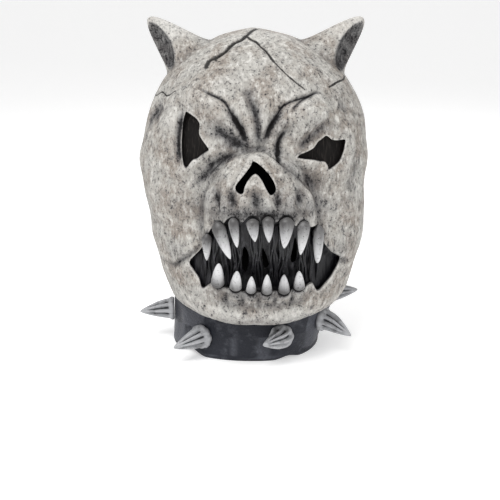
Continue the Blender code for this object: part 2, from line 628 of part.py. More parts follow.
def build():
    for old in list(bpy.data.objects):
        bpy.data.objects.remove(old)
    scene = bpy.context.scene.collection
    parts = bpy.data.collections.new("zombie_dog_mask")
    cutters = bpy.data.collections.new("cutters")
    scene.children.link(parts)
    scene.children.link(cutters)

    outer = skin_grid(with_ears=True)
    inner = hollow_skin()
    outer_tree = BVHTree.FromBMesh(outer)
    inner_tree = BVHTree.FromBMesh(inner)
    skull = new_object("skull_skin", joined_skin(outer, inner), parts, "bone_latex")
    inner.free()

    front = -HALF_DEPTH - MUZZLE_LENGTH - CUT_MARGIN
    for name, outline, back in (
        ("left_eye", LEFT_EYE, -0.25), ("right_eye", RIGHT_EYE, -0.25),
        ("nose", NOSE, -0.75), ("mouth", MOUTH, -0.35),
    ):
        hole = prism(name + "_hole", smooth_outline(outline), front, back * HALF_DEPTH, cutters)
        cut(skull, hole, name)
    for ear in EARS:
        cut(skull, scoop_cutter(ear, cutters), ear[0] + "_ear_scoop")

    for row in TEETH:
        new_object(row[0], tooth_form(row, outer_tree), parts, "tooth_enamel")
        socket = new_object(row[0] + "_socket", tooth_form(row, outer_tree, FIT_GAP), cutters)
        cut(skull, socket, row[0])

    room_skin = hollow_skin(2 * FIT_GAP)
    bmesh.ops.contextual_create(room_skin, geom=[edge for edge in room_skin.edges if edge.is_boundary])
    room = new_object("room", room_skin, cutters)
    flesh_row, *gauze_rows = SHEETS
    flesh = backing_sheet(flesh_row, inner_tree, FLESH_WALL, FLESH_RECESS, "torn_flesh", parts, room)
    for name, outline in FLESH_SLOTS:
        slot = prism(name + "_slot", smooth_outline(outline), front, -0.35 * HALF_DEPTH, cutters)
        cut(flesh, slot, name)
    for row in gauze_rows:
        backing_sheet(row, inner_tree, GAUZE_WALL, 0.0, "eye_gauze", parts, room)

    outside = COLLAR_GAP + COLLAR_WALL
    collar_form("collar", COLLAR_GAP, outside, parts, "collar_latex")
    seat = collar_form("collar_seat", -CUT_MARGIN, outside + FIT_GAP, cutters)
    for row in SPIKES:
        spike = new_object(row[0], spike_form(row), parts, "spike_latex")
        cut(spike, seat, "seat")


build()
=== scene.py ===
# %% [markdown]
# # A zombie dog mask in moulded latex
# The real thing is a hollow rubber head, cast in a mould and painted by hand: a bone-coloured skin with
# deep folds, pitted like old bone, teeth that stand in dark gums, and a black collar with ribbed spikes.
# Every form here is a grid of points that numpy moves, because a sculpted face is one skin with folds
# pressed into it. Modelling it from primitives would leave seams that a casting does not have.

import json
import math

import bmesh
import bpy
import numpy as np
from mathutils import Matrix, Vector, noise
from mathutils.bvhtree import BVHTree
from mathutils.kdtree import KDTree

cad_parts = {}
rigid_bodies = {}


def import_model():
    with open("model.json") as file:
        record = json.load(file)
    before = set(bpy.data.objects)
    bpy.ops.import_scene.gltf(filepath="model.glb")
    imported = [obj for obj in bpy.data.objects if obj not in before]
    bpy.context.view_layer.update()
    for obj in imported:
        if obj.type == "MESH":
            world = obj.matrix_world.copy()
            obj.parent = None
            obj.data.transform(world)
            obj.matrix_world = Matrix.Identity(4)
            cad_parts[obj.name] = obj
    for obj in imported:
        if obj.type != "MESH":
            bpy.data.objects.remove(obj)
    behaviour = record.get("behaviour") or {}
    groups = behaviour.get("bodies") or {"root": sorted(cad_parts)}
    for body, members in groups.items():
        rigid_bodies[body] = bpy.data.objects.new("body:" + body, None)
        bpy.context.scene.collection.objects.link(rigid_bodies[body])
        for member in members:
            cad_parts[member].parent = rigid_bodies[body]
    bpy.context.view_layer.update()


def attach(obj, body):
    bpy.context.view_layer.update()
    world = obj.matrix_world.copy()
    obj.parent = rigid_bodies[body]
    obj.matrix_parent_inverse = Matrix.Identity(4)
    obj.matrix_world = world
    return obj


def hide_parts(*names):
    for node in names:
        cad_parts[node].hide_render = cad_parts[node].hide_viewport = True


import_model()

# %% [markdown]
# ## Sizes
# All lengths are metres. Places on the face are written as (across, up): a share of half the width to
# the viewer's right, and a share of the height. That keeps the sculpture apart from its size.

# %% Named sizes
MASK_HEIGHT = 0.321
HALF_WIDTH = 0.115
HALF_DEPTH = 0.108
PLAN_SQUARENESS = 2.25
HEAD_AXIS = np.array([0.0013, 0.0115, 0.0])
COLLAR_HEIGHT = 0.050
FINENESS = 7
COLUMNS = 310
print("mesh columns:", COLUMNS)

# %% [markdown]
# ## The head's sections
# A row is one slice through the head, from the hem of the neck to the crown. Heights at the front, the
# side and the back differ because the slices tip. A smooth curve runs through the rows.

# %% Sections
SECTION_COLUMNS = ("front_up", "side_up", "back_up", "left", "right", "front", "back", "rows")
SECTIONS = (
    (0.012, 0.012, 0.012, 0.690, 0.545, 0.667, 0.687, 1),
    (0.090, 0.090, 0.090, 0.680, 0.630, 0.662, 0.707, 1),
    (0.180, 0.178, 0.190, 0.680, 0.715, 0.677, 0.761, 1),
    (0.146, 0.175, 0.215, 0.725, 0.785, 0.854, 0.815, 1),
    (0.162, 0.200, 0.250, 0.765, 0.835, 0.937, 0.878, 1),
    (0.200, 0.243, 0.296, 0.810, 0.870, 0.972, 0.932, 2),
    (0.265, 0.300, 0.350, 0.855, 0.915, 0.981, 0.991, 3),
    (0.350, 0.368, 0.411, 0.905, 0.975, 0.972, 1.026, 3),
    (0.436, 0.442, 0.483, 0.930, 0.975, 0.952, 1.045, 4),
    (0.523, 0.523, 0.567, 0.975, 0.970, 0.915, 1.055, 4),
    (0.607, 0.601, 0.648, 1.005, 1.000, 0.880, 1.045, 4),
    (0.679, 0.667, 0.723, 0.965, 0.983, 0.865, 1.016, 4),
    (0.754, 0.735, 0.791, 0.913, 0.948, 0.850, 0.961, 3),
    (0.826, 0.804, 0.854, 0.843, 0.878, 0.785, 0.877, 3),
    (0.894, 0.872, 0.910, 0.713, 0.748, 0.660, 0.738, 3),
    (0.950, 0.934, 0.952, 0.510, 0.528, 0.465, 0.524, 2),
    (0.985, 0.974, 0.985, 0.280, 0.290, 0.255, 0.285, 1),
    (1.000, 1.000, 1.000, 0.000, 0.000, 0.000, 0.000, 0),
)


def catmull_rom(rows, position):
    """Values at a position counted in rows, on one smooth curve through the rows."""
    rows = np.asarray(rows, float)
    last = len(rows) - 1
    first = np.clip(np.floor(position).astype(int), 0, last - 1)
    t = (position - first)[..., None]
    here, there = rows[first], rows[first + 1]
    slope_in = (there - rows[np.clip(first - 1, 0, last)]) / 2
    slope_out = (rows[np.clip(first + 2, 0, last)] - here) / 2
    return (
        (2 * t**3 - 3 * t**2 + 1) * here
        + (t**3 - 2 * t**2 + t) * slope_in
        + (3 * t**2 - 2 * t**3) * there
        + (t**3 - t**2) * slope_out
    )


def signed_power(value, power):
    return np.sign(value) * np.abs(value) ** power


def smooth_step(value):
    value = np.clip(value, 0, 1)
    return value * value * (3 - 2 * value)


def head_form(angle, position):
    """Points of the plain head. The angle is 0 at the face and grows to the viewer's right."""
    values = catmull_rom([row[:-1] for row in SECTIONS], position)
    front_up, side_up, back_up, left, right, front, back = np.moveaxis(values, -1, 0)
    sine, cosine = np.sin(angle), np.cos(angle)
    width = np.where(sine < 0, left, right) * HALF_WIDTH
    depth = np.where(cosine > 0, front, back) * HALF_DEPTH
    end_up = np.where(cosine > 0, front_up, back_up)
    up = side_up + (end_up - side_up) * cosine**2
    power = 2 / PLAN_SQUARENESS
    x = width * signed_power(sine, power)
    y = -depth * signed_power(cosine, power)
    return np.stack([x, y, up * MASK_HEIGHT], axis=-1)


def row_positions(fineness):
    places = [0.0]
    for index, section in enumerate(SECTIONS[:-1]):
        steps = section[-1] * fineness
        places += [index + (step + 1) / steps for step in range(steps)]
    return np.array(places)


print("height of the slices:", head_form(np.zeros(3), np.array([0.0, 8.0, 17.0]))[:, 2])

# %% [markdown]
# ## Muzzle and ears
# The muzzle is a dome that stands 30 mm out of the face with a crisp upper edge. The ears are drawn
# out of the head as clay is pinched: each point near the root moves along the ear, most at its middle.

# %% Muzzle and ears
MUZZLE_LENGTH = 0.030
MUZZLE_HALF_WIDTH = 0.054
MUZZLE_OFFSET = 0.045
MUZZLE_TOP, MUZZLE_MIDDLE, MUZZLE_LOW = 0.676, 0.470, 0.270
EAR_REACH = 0.052
EAR_SIZE = (0.0285, 0.025, 0.048)
EARS = (
    ("left", -0.585, 0.918, -0.905, 1.030, 0.02),
    ("right", 0.600, 0.915, 0.915, 1.025, 0.02),
)


def muzzle_rise(x, z):
    across = (x - MUZZLE_OFFSET * HALF_WIDTH) / MUZZLE_HALF_WIDTH
    up = z / MASK_HEIGHT
    above = np.clip((up - MUZZLE_MIDDLE) / (MUZZLE_TOP - MUZZLE_MIDDLE), 0, None)
    below = np.clip((MUZZLE_MIDDLE - up) / (MUZZLE_MIDDLE - MUZZLE_LOW), 0, 1)
    inside = np.clip(1 - across**2 - above**2, 0, None)
    return MUZZLE_LENGTH * inside**0.5 * (1 - below**2) ** 2


def ear_axes(root_across, root_up, tip_across, tip_up, root_back):
    root = np.array([root_across * HALF_WIDTH, root_back * HALF_DEPTH, root_up * MASK_HEIGHT])
    tip = np.array([tip_across * HALF_WIDTH, root[1], tip_up * MASK_HEIGHT])
    return root, (tip - root) / np.linalg.norm(tip - root)


def ear_pull(point, *ear):
    root, way = ear_axes(*ear)
    over = np.array([-way[2], 0, way[0]])
    offset = point - root
    high, deep, through = EAR_SIZE
    spread = (offset @ over / high) ** 2 + (offset[..., 1] / deep) ** 2 + (offset @ way / through) ** 2
    reach = np.clip(np.sqrt(spread), 0, 1)
    return ((1 - reach**2) ** 2)[..., None] * way * EAR_REACH


def face_form(angle, position):
    """Points of the head with its muzzle, which stands only where a point faces the front."""
    point = head_form(angle, position)
    facing = smooth_step(np.cos(angle) * 3 + 0.2)
    point[..., 1] -= muzzle_rise(point[..., 0], point[..., 2]) * facing
    return point


print("muzzle stands out", round(float(muzzle_rise(0.005, 0.16)) * 1000, 1), "mm")

# %% [markdown]
# ## Rolling a grid round the head
# A flat Blender grid is rolled up and its seam welded at the back. Columns crowd together at the face,
# where the folds are. Normals come from the grid's own rows and columns, which is exact and quick.

# %% Rolled grids
CROWDING = 0.60


def column_angle(turn):
    return 2 * math.pi * turn - CROWDING * np.sin(2 * math.pi * turn)


def normals_of(points):
    """Outward unit normals of a rows by columns array of points that closes round the head."""
    wrapped = np.concatenate([points[:, -2:-1], points, points[:, 1:2]], axis=1)
    around = wrapped[:, 2:] - wrapped[:, :-2]
    upwards = np.gradient(points, axis=0)
    normal = np.cross(around, upwards)
    length = np.linalg.norm(normal, axis=-1, keepdims=True)
    normal = np.where(length > 1e-12, normal / np.maximum(length, 1e-12), (0.0, 0.0, 1.0))
    return normal


def rolled_mesh(points, flip=False):
    """A bmesh of a rows by columns array of points, welded along its seam and at its pole."""
    rows, columns = points.shape[:2]
    mesh = bmesh.new()
    bmesh.ops.create_grid(mesh, x_segments=columns - 1, y_segments=rows - 1, size=1)
    for vert in mesh.verts:
        column = round((vert.co.x + 1) / 2 * (columns - 1))
        row = round((vert.co.y + 1) / 2 * (rows - 1))
        vert.co = points[row, column]
    bmesh.ops.remove_doubles(mesh, verts=mesh.verts, dist=0.0000005)
    bmesh.ops.recalc_face_normals(mesh, faces=mesh.faces)
    if flip:
        bmesh.ops.reverse_faces(mesh, faces=mesh.faces)
    return mesh


places = row_positions(FINENESS)
turns = np.linspace(-0.5, 0.5, COLUMNS + 1)
angles, heights = np.meshgrid(column_angle(turns), places)
plain = face_form(angles, heights)
plain_mesh = rolled_mesh(plain)
plain_tree = BVHTree.FromBMesh(plain_mesh)
plain_normal = normals_of(plain)
print("grid:", plain.shape, "front normal:", plain_normal[len(places) // 2, COLUMNS // 2])

# %% [markdown]
# ## Folds, furrows and bumps
# A sculptor presses folds into the clay along lines. A row here is one line: its half width and its
# height in millimetres (a furrow is negative), how sharp it is, how dark it is painted and how far that
# shade spreads, and the places it runs through. Each line is first dropped onto the plain head, so a
# distance to it is measured along the real form.

# %% The lines of the face
SOFT, CREASE = 2.0, 1.0
LINE_COLUMNS = ("name", "half_width_mm", "height_mm", "profile", "dark", "dark_mm", "path")
LINES = (
    ("left_brow", 13.0, 6.0, SOFT, 0, 0,
     ((-0.62, 0.81), (-0.47, 0.82), (-0.33, 0.785), (-0.235, 0.740), (-0.17, 0.70))),
    ("right_brow", 12.0, 5.5, SOFT, 0, 0, ((0.27, 0.755), (0.40, 0.775), (0.52, 0.775), (0.62, 0.755))),
    ("inner_right_ridge", 5.0, 3.0, SOFT, 0, 0,
     ((0.135, 0.690), (0.149, 0.713), (0.222, 0.746), (0.267, 0.764))),
    ("left_frown_ridge", 6.0, 2.4, SOFT, 0, 0,
     ((-0.125, 0.82), (-0.085, 0.80), (-0.045, 0.75), (-0.015, 0.71))),
    ("right_frown_ridge", 6.0, 2.6, SOFT, 0, 0, ((0.10, 0.83), (0.085, 0.80), (0.072, 0.76), (0.058, 0.71))),
    ("left_frown", 3.8, -5.0, CREASE, 0.85, 1.3,
     ((-0.46, 0.842), (-0.378, 0.831), (-0.246, 0.810), (-0.188, 0.778), (-0.129, 0.746), (-0.092, 0.718),
      (-0.049, 0.680))),
    # Painted shade beside the left frown.
    ("left_frown_wash", 6.0, -1.0, SOFT, 0.90, 4.2,
     ((-0.22, 0.797), (-0.129, 0.746), (-0.092, 0.718), (-0.055, 0.685))),
    ("middle_frown_top", 6.5, -3.0, SOFT, 0.52, 6.0, ((-0.056, 0.850), (-0.034, 0.820), (0.003, 0.787))),
    ("middle_frown", 3.4, -3.4, CREASE, 0.66, 5.0,
     ((-0.034, 0.815), (0.003, 0.787), (0.025, 0.750), (0.032, 0.713), (0.039, 0.680))),
    ("right_frown", 4.0, -5.0, CREASE, 0.85, 1.2,
     ((0.570, 0.822), (0.52, 0.832), (0.442, 0.824), (0.267, 0.806), (0.208, 0.787), (0.164, 0.759),
      (0.120, 0.732), (0.068, 0.683))),
    # Painted shade beside the right frown.
    ("right_frown_wash", 6.0, -1.0, SOFT, 0.86, 4.0,
     ((0.24, 0.79), (0.164, 0.759), (0.120, 0.732), (0.07, 0.69))),
    ("right_lid", 2.6, -2.4, CREASE, 0.75, 1.4,
     ((0.290, 0.780), (0.340, 0.800), (0.40, 0.815), (0.50, 0.830))),
    ("right_socket", 4.2, -4.4, CREASE, 0.85, 3.4,
     ((0.285, 0.738), (0.215, 0.712), (0.190, 0.685), (0.205, 0.655), (0.255, 0.632))),
    ("right_under_eye", 9.0, -2.4, SOFT, 0.45, 9.0,
     ((0.20, 0.655), (0.28, 0.630), (0.38, 0.598), (0.50, 0.570), (0.60, 0.550))),
    ("left_under_eye", 7.0, -4.2, CREASE, 0.66, 6.0,
     ((-0.130, 0.667), (-0.232, 0.652), (-0.330, 0.630), (-0.410, 0.595), (-0.50, 0.565))),
    ("left_lower_lid", 5.5, 3.6, SOFT, 0, 0,
     ((-0.660, 0.590), (-0.54, 0.618), (-0.45, 0.645), (-0.36, 0.668))),
    ("right_lower_lid", 7.0, 2.4, SOFT, 0, 0, ((0.38, 0.632), (0.46, 0.620), (0.56, 0.600), (0.68, 0.588))),
    ("left_socket", 10.0, -5.0, SOFT, 0.72, 8.0,
     ((-0.34, 0.742), (-0.26, 0.722), (-0.18, 0.702), (-0.09, 0.686))),
    ("right_upper_lid", 6.5, -3.4, SOFT, 0.62, 5.5,
     ((0.62, 0.750), (0.52, 0.722), (0.42, 0.694), (0.36, 0.672))),
    ("left_eye_side", 3.0, -1.6, SOFT, 0.80, 4.0,
     ((-0.575, 0.785), (-0.615, 0.73), (-0.622, 0.67), (-0.595, 0.62))),
    ("left_temple_rim", 8.0, 1.3, SOFT, 0, 0,
     ((-0.60, 0.88), (-0.655, 0.81), (-0.68, 0.73), (-0.675, 0.65), (-0.63, 0.58))),
    ("left_muzzle_rim", 2.6, -2.0, CREASE, 0.70, 2.0,
     ((-0.40, 0.585), (-0.33, 0.615), (-0.24, 0.645), (-0.13, 0.668))),
    ("right_muzzle_rim", 2.8, -2.0, CREASE, 0.56, 2.6,
     ((0.11, 0.672), (0.20, 0.652), (0.30, 0.625), (0.40, 0.590), (0.47, 0.545), (0.51, 0.50))),
    ("left_temple", 14.0, -4.0, SOFT, 0.55, 9.0, ((-0.78, 0.79), (-0.86, 0.735))),
    ("left_temple_edge", 6.0, -1.0, SOFT, 0.65, 8.0, ((-0.83, 0.775), (-0.90, 0.715))),
    ("right_eye_rim", 4.0, 1.2, SOFT, 0, 0,
     ((0.70, 0.715), (0.795, 0.705), (0.815, 0.66), (0.765, 0.610), (0.70, 0.588))),
    ("right_temple", 12.0, -3.4, SOFT, 0.25, 10.0, ((0.70, 0.800), (0.80, 0.765))),
    ("right_temple_fold", 3.0, -1.4, CREASE, 0.25, 2.5,
     ((0.62, 0.825), (0.72, 0.800), (0.84, 0.76), (0.92, 0.735))),
    ("right_cheek_shade", 9.0, -1.4, SOFT, 0.35, 8.0, ((0.86, 0.64), (0.83, 0.58), (0.76, 0.53))),
    ("left_cheek", 24.0, 4.5, SOFT, 0, 0, ((-0.80, 0.56), (-0.78, 0.50), (-0.76, 0.44))),
    ("right_cheek", 24.0, 4.0, SOFT, 0, 0, ((0.84, 0.56), (0.83, 0.50), (0.82, 0.44))),
    ("left_cheek_fold", 4.2, -3.0, CREASE, 0.55, 3.4,
     ((-0.78, 0.305), (-0.682, 0.308), (-0.617, 0.331), (-0.509, 0.363), (-0.423, 0.400))),
    ("right_cheek_fold", 4.2, -3.0, CREASE, 0.55, 3.4, ((0.57, 0.385), (0.706, 0.337), (0.82, 0.31))),
    ("left_muzzle_side", 7.0, -1.2, SOFT, 0.12, 6.0,
     ((-0.43, 0.43), (-0.452, 0.48), (-0.44, 0.53), (-0.41, 0.575))),
    ("right_muzzle_side", 7.0, -1.0, SOFT, 0.24, 8.0,
     ((0.52, 0.43), (0.55, 0.48), (0.53, 0.53), (0.48, 0.57), (0.40, 0.605))),
    ("muzzle_top", 3.0, -1.8, CREASE, 0.30, 1.7,
     ((-0.12, 0.668), (0.0, 0.680), (0.11, 0.672), (0.22, 0.650))),
    ("lower_gum", 8.5, 3.8, SOFT, 0, 0,
     ((-0.40, 0.262), (-0.16, 0.250), (0.05, 0.245), (0.26, 0.250), (0.50, 0.265))),
    ("gum_shade", 7.0, -1.2, SOFT, 0.42, 5.0,
     ((-0.42, 0.232), (-0.16, 0.215), (0.05, 0.212), (0.26, 0.215), (0.52, 0.236))),
    ("jaw_ridge", 14.0, 3.0, SOFT, 0, 0,
     ((-0.55, 0.24), (-0.30, 0.19), (0.05, 0.17), (0.36, 0.18), (0.62, 0.24))),
    ("septum", 5.0, 2.0, SOFT, 0, 0, ((-0.060, 0.575), (0.012, 0.592), (0.085, 0.575))),
    ("nostril_rim", 3.0, 1.8, SOFT, 0, 0,
     ((-0.165, 0.575), (-0.10, 0.615), (-0.008, 0.662), (0.09, 0.632), (0.195, 0.570))),
    ("left_root_line", 1.8, -1.6, CREASE, 0.85, 1.3,
     ((-0.335, 0.580), (-0.322, 0.552), (-0.290, 0.525), (-0.262, 0.500))),
)
CRACKS = (
    (3.0, -3.6,
     ((0.035, 0.998), (-0.01, 0.996), (-0.060, 0.988), (-0.105, 0.976), (-0.17, 0.965), (-0.235, 0.945),
                 (-0.30, 0.930), (-0.366, 0.918), (-0.392, 0.900))),
    (1.5, -2.0,
     ((-0.070, 0.986), (-0.03, 0.975), (0.01, 0.970), (0.05, 0.958), (0.105, 0.942), (0.156, 0.918))),
    (1.0, -1.2, ((0.156, 0.918), (0.233, 0.893), (0.30, 0.872), (0.37, 0.852), (0.413, 0.840))),
    (1.0, -1.2, ((-0.90, 0.783), (-0.83, 0.802), (-0.775, 0.817), (-0.73, 0.812), (-0.64, 0.828))),
    (1.2, -1.5, ((0.62, 0.842), (0.70, 0.852), (0.751, 0.853), (0.80, 0.864), (0.88, 0.855))),
    (0.8, -0.8, ((-0.335, 0.925), (-0.30, 0.917), (-0.26, 0.919))),
)
ROOT_HOLLOWS = (-0.300, -0.182, 0.013, 0.192, 0.368)
ROOT_BULGES = (-0.375, -0.242, -0.090, 0.100, 0.285, 0.445)
LOWER_HOLLOWS = (-0.235, -0.095, 0.035, 0.172, 0.310)


def on_skin(path, count):
    """A smooth line through (across, up) places, dropped from the front onto the plain head."""
    corners = np.array(path) * (HALF_WIDTH, MASK_HEIGHT)
    line = catmull_rom(corners, np.linspace(0, len(corners) - 1, count))
    dropped = []
    for x, z in line:
        found = plain_tree.ray_cast(Vector((x, -1, z)), Vector((0, 1, 0)))[0]
        if found is not None:
            dropped.append(found)
    return np.array(dropped)


def way_to(line, points):
    """The distance from each point to a line in space, and the share along it of the nearest place."""
    best = np.full(points.shape[:-1], np.inf)
    along = np.zeros(points.shape[:-1])
    for index, (start, end) in enumerate(zip(line[:-1], line[1:])):
        step = end - start
        share = np.clip((points - start) @ step / max(step @ step, 1e-12), 0, 1)
        distance = np.linalg.norm(points - start - share[..., None] * step, axis=-1)
        nearer = distance < best
        best = np.where(nearer, distance, best)
        along = np.where(nearer, (index + share) / (len(line) - 1), along)
    return best, along


def line_field(points, reach_mm, path):
    """For the points near a line: which they are, how far away in millimetres, and a fade at its ends."""
    line = on_skin(path, 6 * len(path))
    low, high = line.min(axis=0), line.max(axis=0)
    near = np.all((points > low - reach_mm * 0.001) & (points < high + reach_mm * 0.001), axis=-1)
    distance, along = way_to(line, points[near])
    fading = 0.25 + 0.75 * smooth_step(along * 4) * smooth_step((1 - along) * 4)
    return near, distance * 1000, fading


def face_relief(points):
    """What the lines do to each point: the rise in metres, the painted darkness, the nearest crack."""
    rise, dark = np.zeros(points.shape[:-1]), np.zeros(points.shape[:-1])
    rows = [row[1:] for row in LINES]
    rows += [(5.5, -2.2, SOFT, 0, 0, ((u, 0.572), (u, 0.546), (u * 1.03, 0.515))) for u in ROOT_HOLLOWS]
    rows += [(5.5, 2.0, SOFT, 0, 0, ((u, 0.560), (u, 0.535), (u * 1.04, 0.505))) for u in ROOT_BULGES]
    rows += [(3.4, -2.2, SOFT, 0, 0, ((u, 0.258), (u, 0.235), (u, 0.208))) for u in LOWER_HOLLOWS]
    for half_width, height, profile, darkness, spread, path in rows:
        near, away, fading = line_field(points, 4 * max(half_width, spread), path)
        shape = np.exp(-((away / half_width) ** 2)) if profile == SOFT else np.exp(-1.6 * away / half_width)
        rise[near] += height * 0.001 * fading * shape
        if darkness:
            dark[near] = np.maximum(dark[near], darkness * fading * np.exp(-((away / spread) ** 2)))
    crack = np.full(points.shape[:-1], 30.0)
    for half_width, height, path in CRACKS:
        near, away, fading = line_field(points, 12, path)
        rise[near] += height * 0.001 * fading * np.exp(-away / half_width)
        crack[near] = np.minimum(crack[near], away * 2.0 / half_width)
    return rise, dark, crack


line_relief, line_dark, line_crack = face_relief(plain)
low, high = (round(float(value) * 1000, 1) for value in (line_relief.min(), line_relief.max()))
print("relief from", low, "to", high, "mm")

# %% [markdown]
# ## Old bone
# Between the folds the skin is never quite smooth. Two sizes of solid noise lift it a little: broad
# lumps of a few centimetres and pits of a few millimetres. Noise in space has no seam to hide.

# %% Lumps and pits
LUMP_SIZE, LUMP_HEIGHT = 0.028, 0.0011
PIT_SIZE, PIT_HEIGHT = 0.0046, 0.00045


def noise_rise(points):
    flat = points.reshape(-1, 3)
    lumps = [noise.noise(Vector(p) / LUMP_SIZE) for p in flat]
    pits = [min(0.12, noise.noise(Vector(p) / PIT_SIZE)) for p in flat]
    rise = np.array(lumps) * LUMP_HEIGHT + np.array(pits) * PIT_HEIGHT
    return rise.reshape(points.shape[:-1])


skin_noise = noise_rise(plain)
above_neck = smooth_step((heights - 2.0) / 1.0)
relief = (line_relief + skin_noise) * above_neck
skin = plain + plain_normal * relief[..., None]
skin = skin + sum(ear_pull(skin, *ear[1:]) for ear in EARS) + HEAD_AXIS
print("skin spans", skin.reshape(-1, 3).min(axis=0), skin.reshape(-1, 3).max(axis=0))

# %% [markdown]
# ## The hollow
# A mask is a wall, not a lump. The lining is the same head without ears, taken in by the wall, on a
# coarser grid because nobody looks closely at it. A rim at the neck joins the two skins into one solid.

# %% Lining and rim
SKIN_WALL, LIP_WALL, EYE_RIM_WALL = 0.0035, 0.0062, 0.0056
LEFT_EYE = (
    (-0.552, 0.776), (-0.517, 0.771), (-0.466, 0.759), (-0.441, 0.743), (-0.447, 0.718),
    (-0.418, 0.698), (-0.386, 0.683), (-0.368, 0.671), (-0.393, 0.664), (-0.431, 0.655),
    (-0.470, 0.643), (-0.497, 0.640), (-0.527, 0.628), (-0.556, 0.615), (-0.579, 0.625),
    (-0.591, 0.650), (-0.594, 0.682), (-0.589, 0.714), (-0.581, 0.745), (-0.566, 0.766),
)
RIGHT_EYE = (
    (0.350, 0.649), (0.376, 0.659), (0.420, 0.664), (0.483, 0.675), (0.520, 0.692), (0.546, 0.697),
    (0.588, 0.707), (0.637, 0.694), (0.690, 0.690), (0.752, 0.688), (0.749, 0.667), (0.735, 0.648),
    (0.706, 0.628), (0.660, 0.614), (0.612, 0.607), (0.602, 0.619), (0.578, 0.630), (0.536, 0.633),
    (0.484, 0.639), (0.415, 0.643),
)
NOSE = (
    (-0.008, 0.650), (-0.032, 0.637), (-0.090, 0.612), (-0.150, 0.584), (-0.135, 0.566),
    (-0.093, 0.564), (-0.076, 0.583), (-0.050, 0.600), (0.005, 0.617), (0.055, 0.603),
    (0.090, 0.580), (0.130, 0.560), (0.170, 0.572), (0.158, 0.594), (0.115, 0.618), (0.050, 0.640),
)
MOUTH = (
    (-0.540, 0.333), (-0.455, 0.372), (-0.395, 0.405), (-0.370, 0.440), (-0.330, 0.462),
    (-0.258, 0.474), (-0.215, 0.492), (-0.160, 0.500), (-0.110, 0.484), (-0.060, 0.498),
    (-0.010, 0.506), (0.045, 0.490), (0.100, 0.508), (0.165, 0.486), (0.255, 0.504),
    (0.330, 0.470), (0.395, 0.484), (0.450, 0.458), (0.520, 0.450), (0.560, 0.405),
    (0.640, 0.360), (0.725, 0.333), (0.660, 0.285), (0.600, 0.262), (0.530, 0.243),
    (0.480, 0.272), (0.405, 0.262), (0.340, 0.270), (0.296, 0.256), (0.235, 0.266),
    (0.172, 0.258), (0.100, 0.265), (0.045, 0.255), (-0.027, 0.268), (-0.095, 0.258),
    (-0.158, 0.275), (-0.230, 0.266), (-0.300, 0.284), (-0.358, 0.276), (-0.430, 0.256),
    (-0.460, 0.285), (-0.500, 0.305),
)
RIMS = ((MOUTH, LIP_WALL, 1.35), (LEFT_EYE, EYE_RIM_WALL, 1.7), (RIGHT_EYE, EYE_RIM_WALL, 1.7))


def wall_at(points):
    """The wall's thickness, greater round the mouth and the eyes, where the sculpture is deep."""
    across = points[..., 0] / HALF_WIDTH
    up = points[..., 2] / MASK_HEIGHT
    wall = np.full(across.shape, SKIN_WALL)
    for outline, rim_wall, spread in RIMS:
        low, high = np.min(outline, axis=0), np.max(outline, axis=0)
        middle, half = (low + high) / 2, (high - low) / 2 * spread
        reach = np.hypot((across - middle[0]) / half[0], (up - middle[1]) / half[1])
        wall = np.maximum(wall, SKIN_WALL + (rim_wall - SKIN_WALL) * smooth_step(2.6 - 2.2 * reach))
    return np.where(points[..., 1] > 0, SKIN_WALL, wall)


lining_rows, lining_columns = row_positions(2), np.linspace(-0.5, 0.5, 97)
lining_angles, lining_heights = np.meshgrid(column_angle(lining_columns), lining_rows)
lining = face_form(lining_angles, lining_heights)
sunk = np.minimum(face_relief(lining)[0], 0) * smooth_step(lining_heights - 2)
depth = wall_at(lining) - sunk * 0.9
lining = lining - normals_of(lining) * depth[..., None] + HEAD_AXIS
lining_mesh = rolled_mesh(lining, flip=True)
lining_tree = BVHTree.FromBMesh(lining_mesh)
print("lining faces:", len(lining_mesh.faces))

# %% Joining the two skins
def to_object(mesh, name):
    """Ends a bmesh as a smooth object at the origin."""
    data = bpy.data.meshes.new(name)
    mesh.to_mesh(data)
    mesh.free()
    made = bpy.data.objects.new(name, data)
    bpy.context.scene.collection.objects.link(made)
    data.shade_smooth()
    return made


def triangles_of(made):
    return sum(len(face.vertices) - 2 for face in made.data.polygons)


skin_mesh = rolled_mesh(skin)
lining_data = bpy.data.meshes.new("lining")
lining_mesh.to_mesh(lining_data)
skin_mesh.from_mesh(lining_data)
rims = [edge for edge in skin_mesh.edges if edge.is_boundary]
bmesh.ops.bridge_loops(skin_mesh, edges=rims)
bmesh.ops.triangulate(skin_mesh, faces=skin_mesh.faces)
skull = to_object(skin_mesh, "skull")
print("skull triangles before cutting:", triangles_of(skull))

# %% [markdown]
# ## Cutting the holes
# The eyes, the nose and the mouth are cut through the wall with flat outlines that run from front to
# back, as a knife goes through rubber. The ears are scooped out on their outer sides with a long ball.

# %% Cutters and cuts
SCOOP_SIZE = (0.068, 0.040, 0.030)
SCOOP_ALONG = 0.60
SCOOP_OFFSET = (0.0095, -0.0185, -0.004)
CUT_FRONT = -0.18
EYE_CUT_BACK, NOSE_CUT_BACK, MOUTH_CUT_BACK = -0.027, -0.081, -0.038


def smooth_outline(points, steps=4):
    rows = np.array(points) * (HALF_WIDTH, MASK_HEIGHT) + (HEAD_AXIS[0], 0)
    wrapped = np.concatenate([rows[-1:], rows, rows[:2]])
    return catmull_rom(wrapped, 1 + np.arange(len(rows) * steps) / steps)


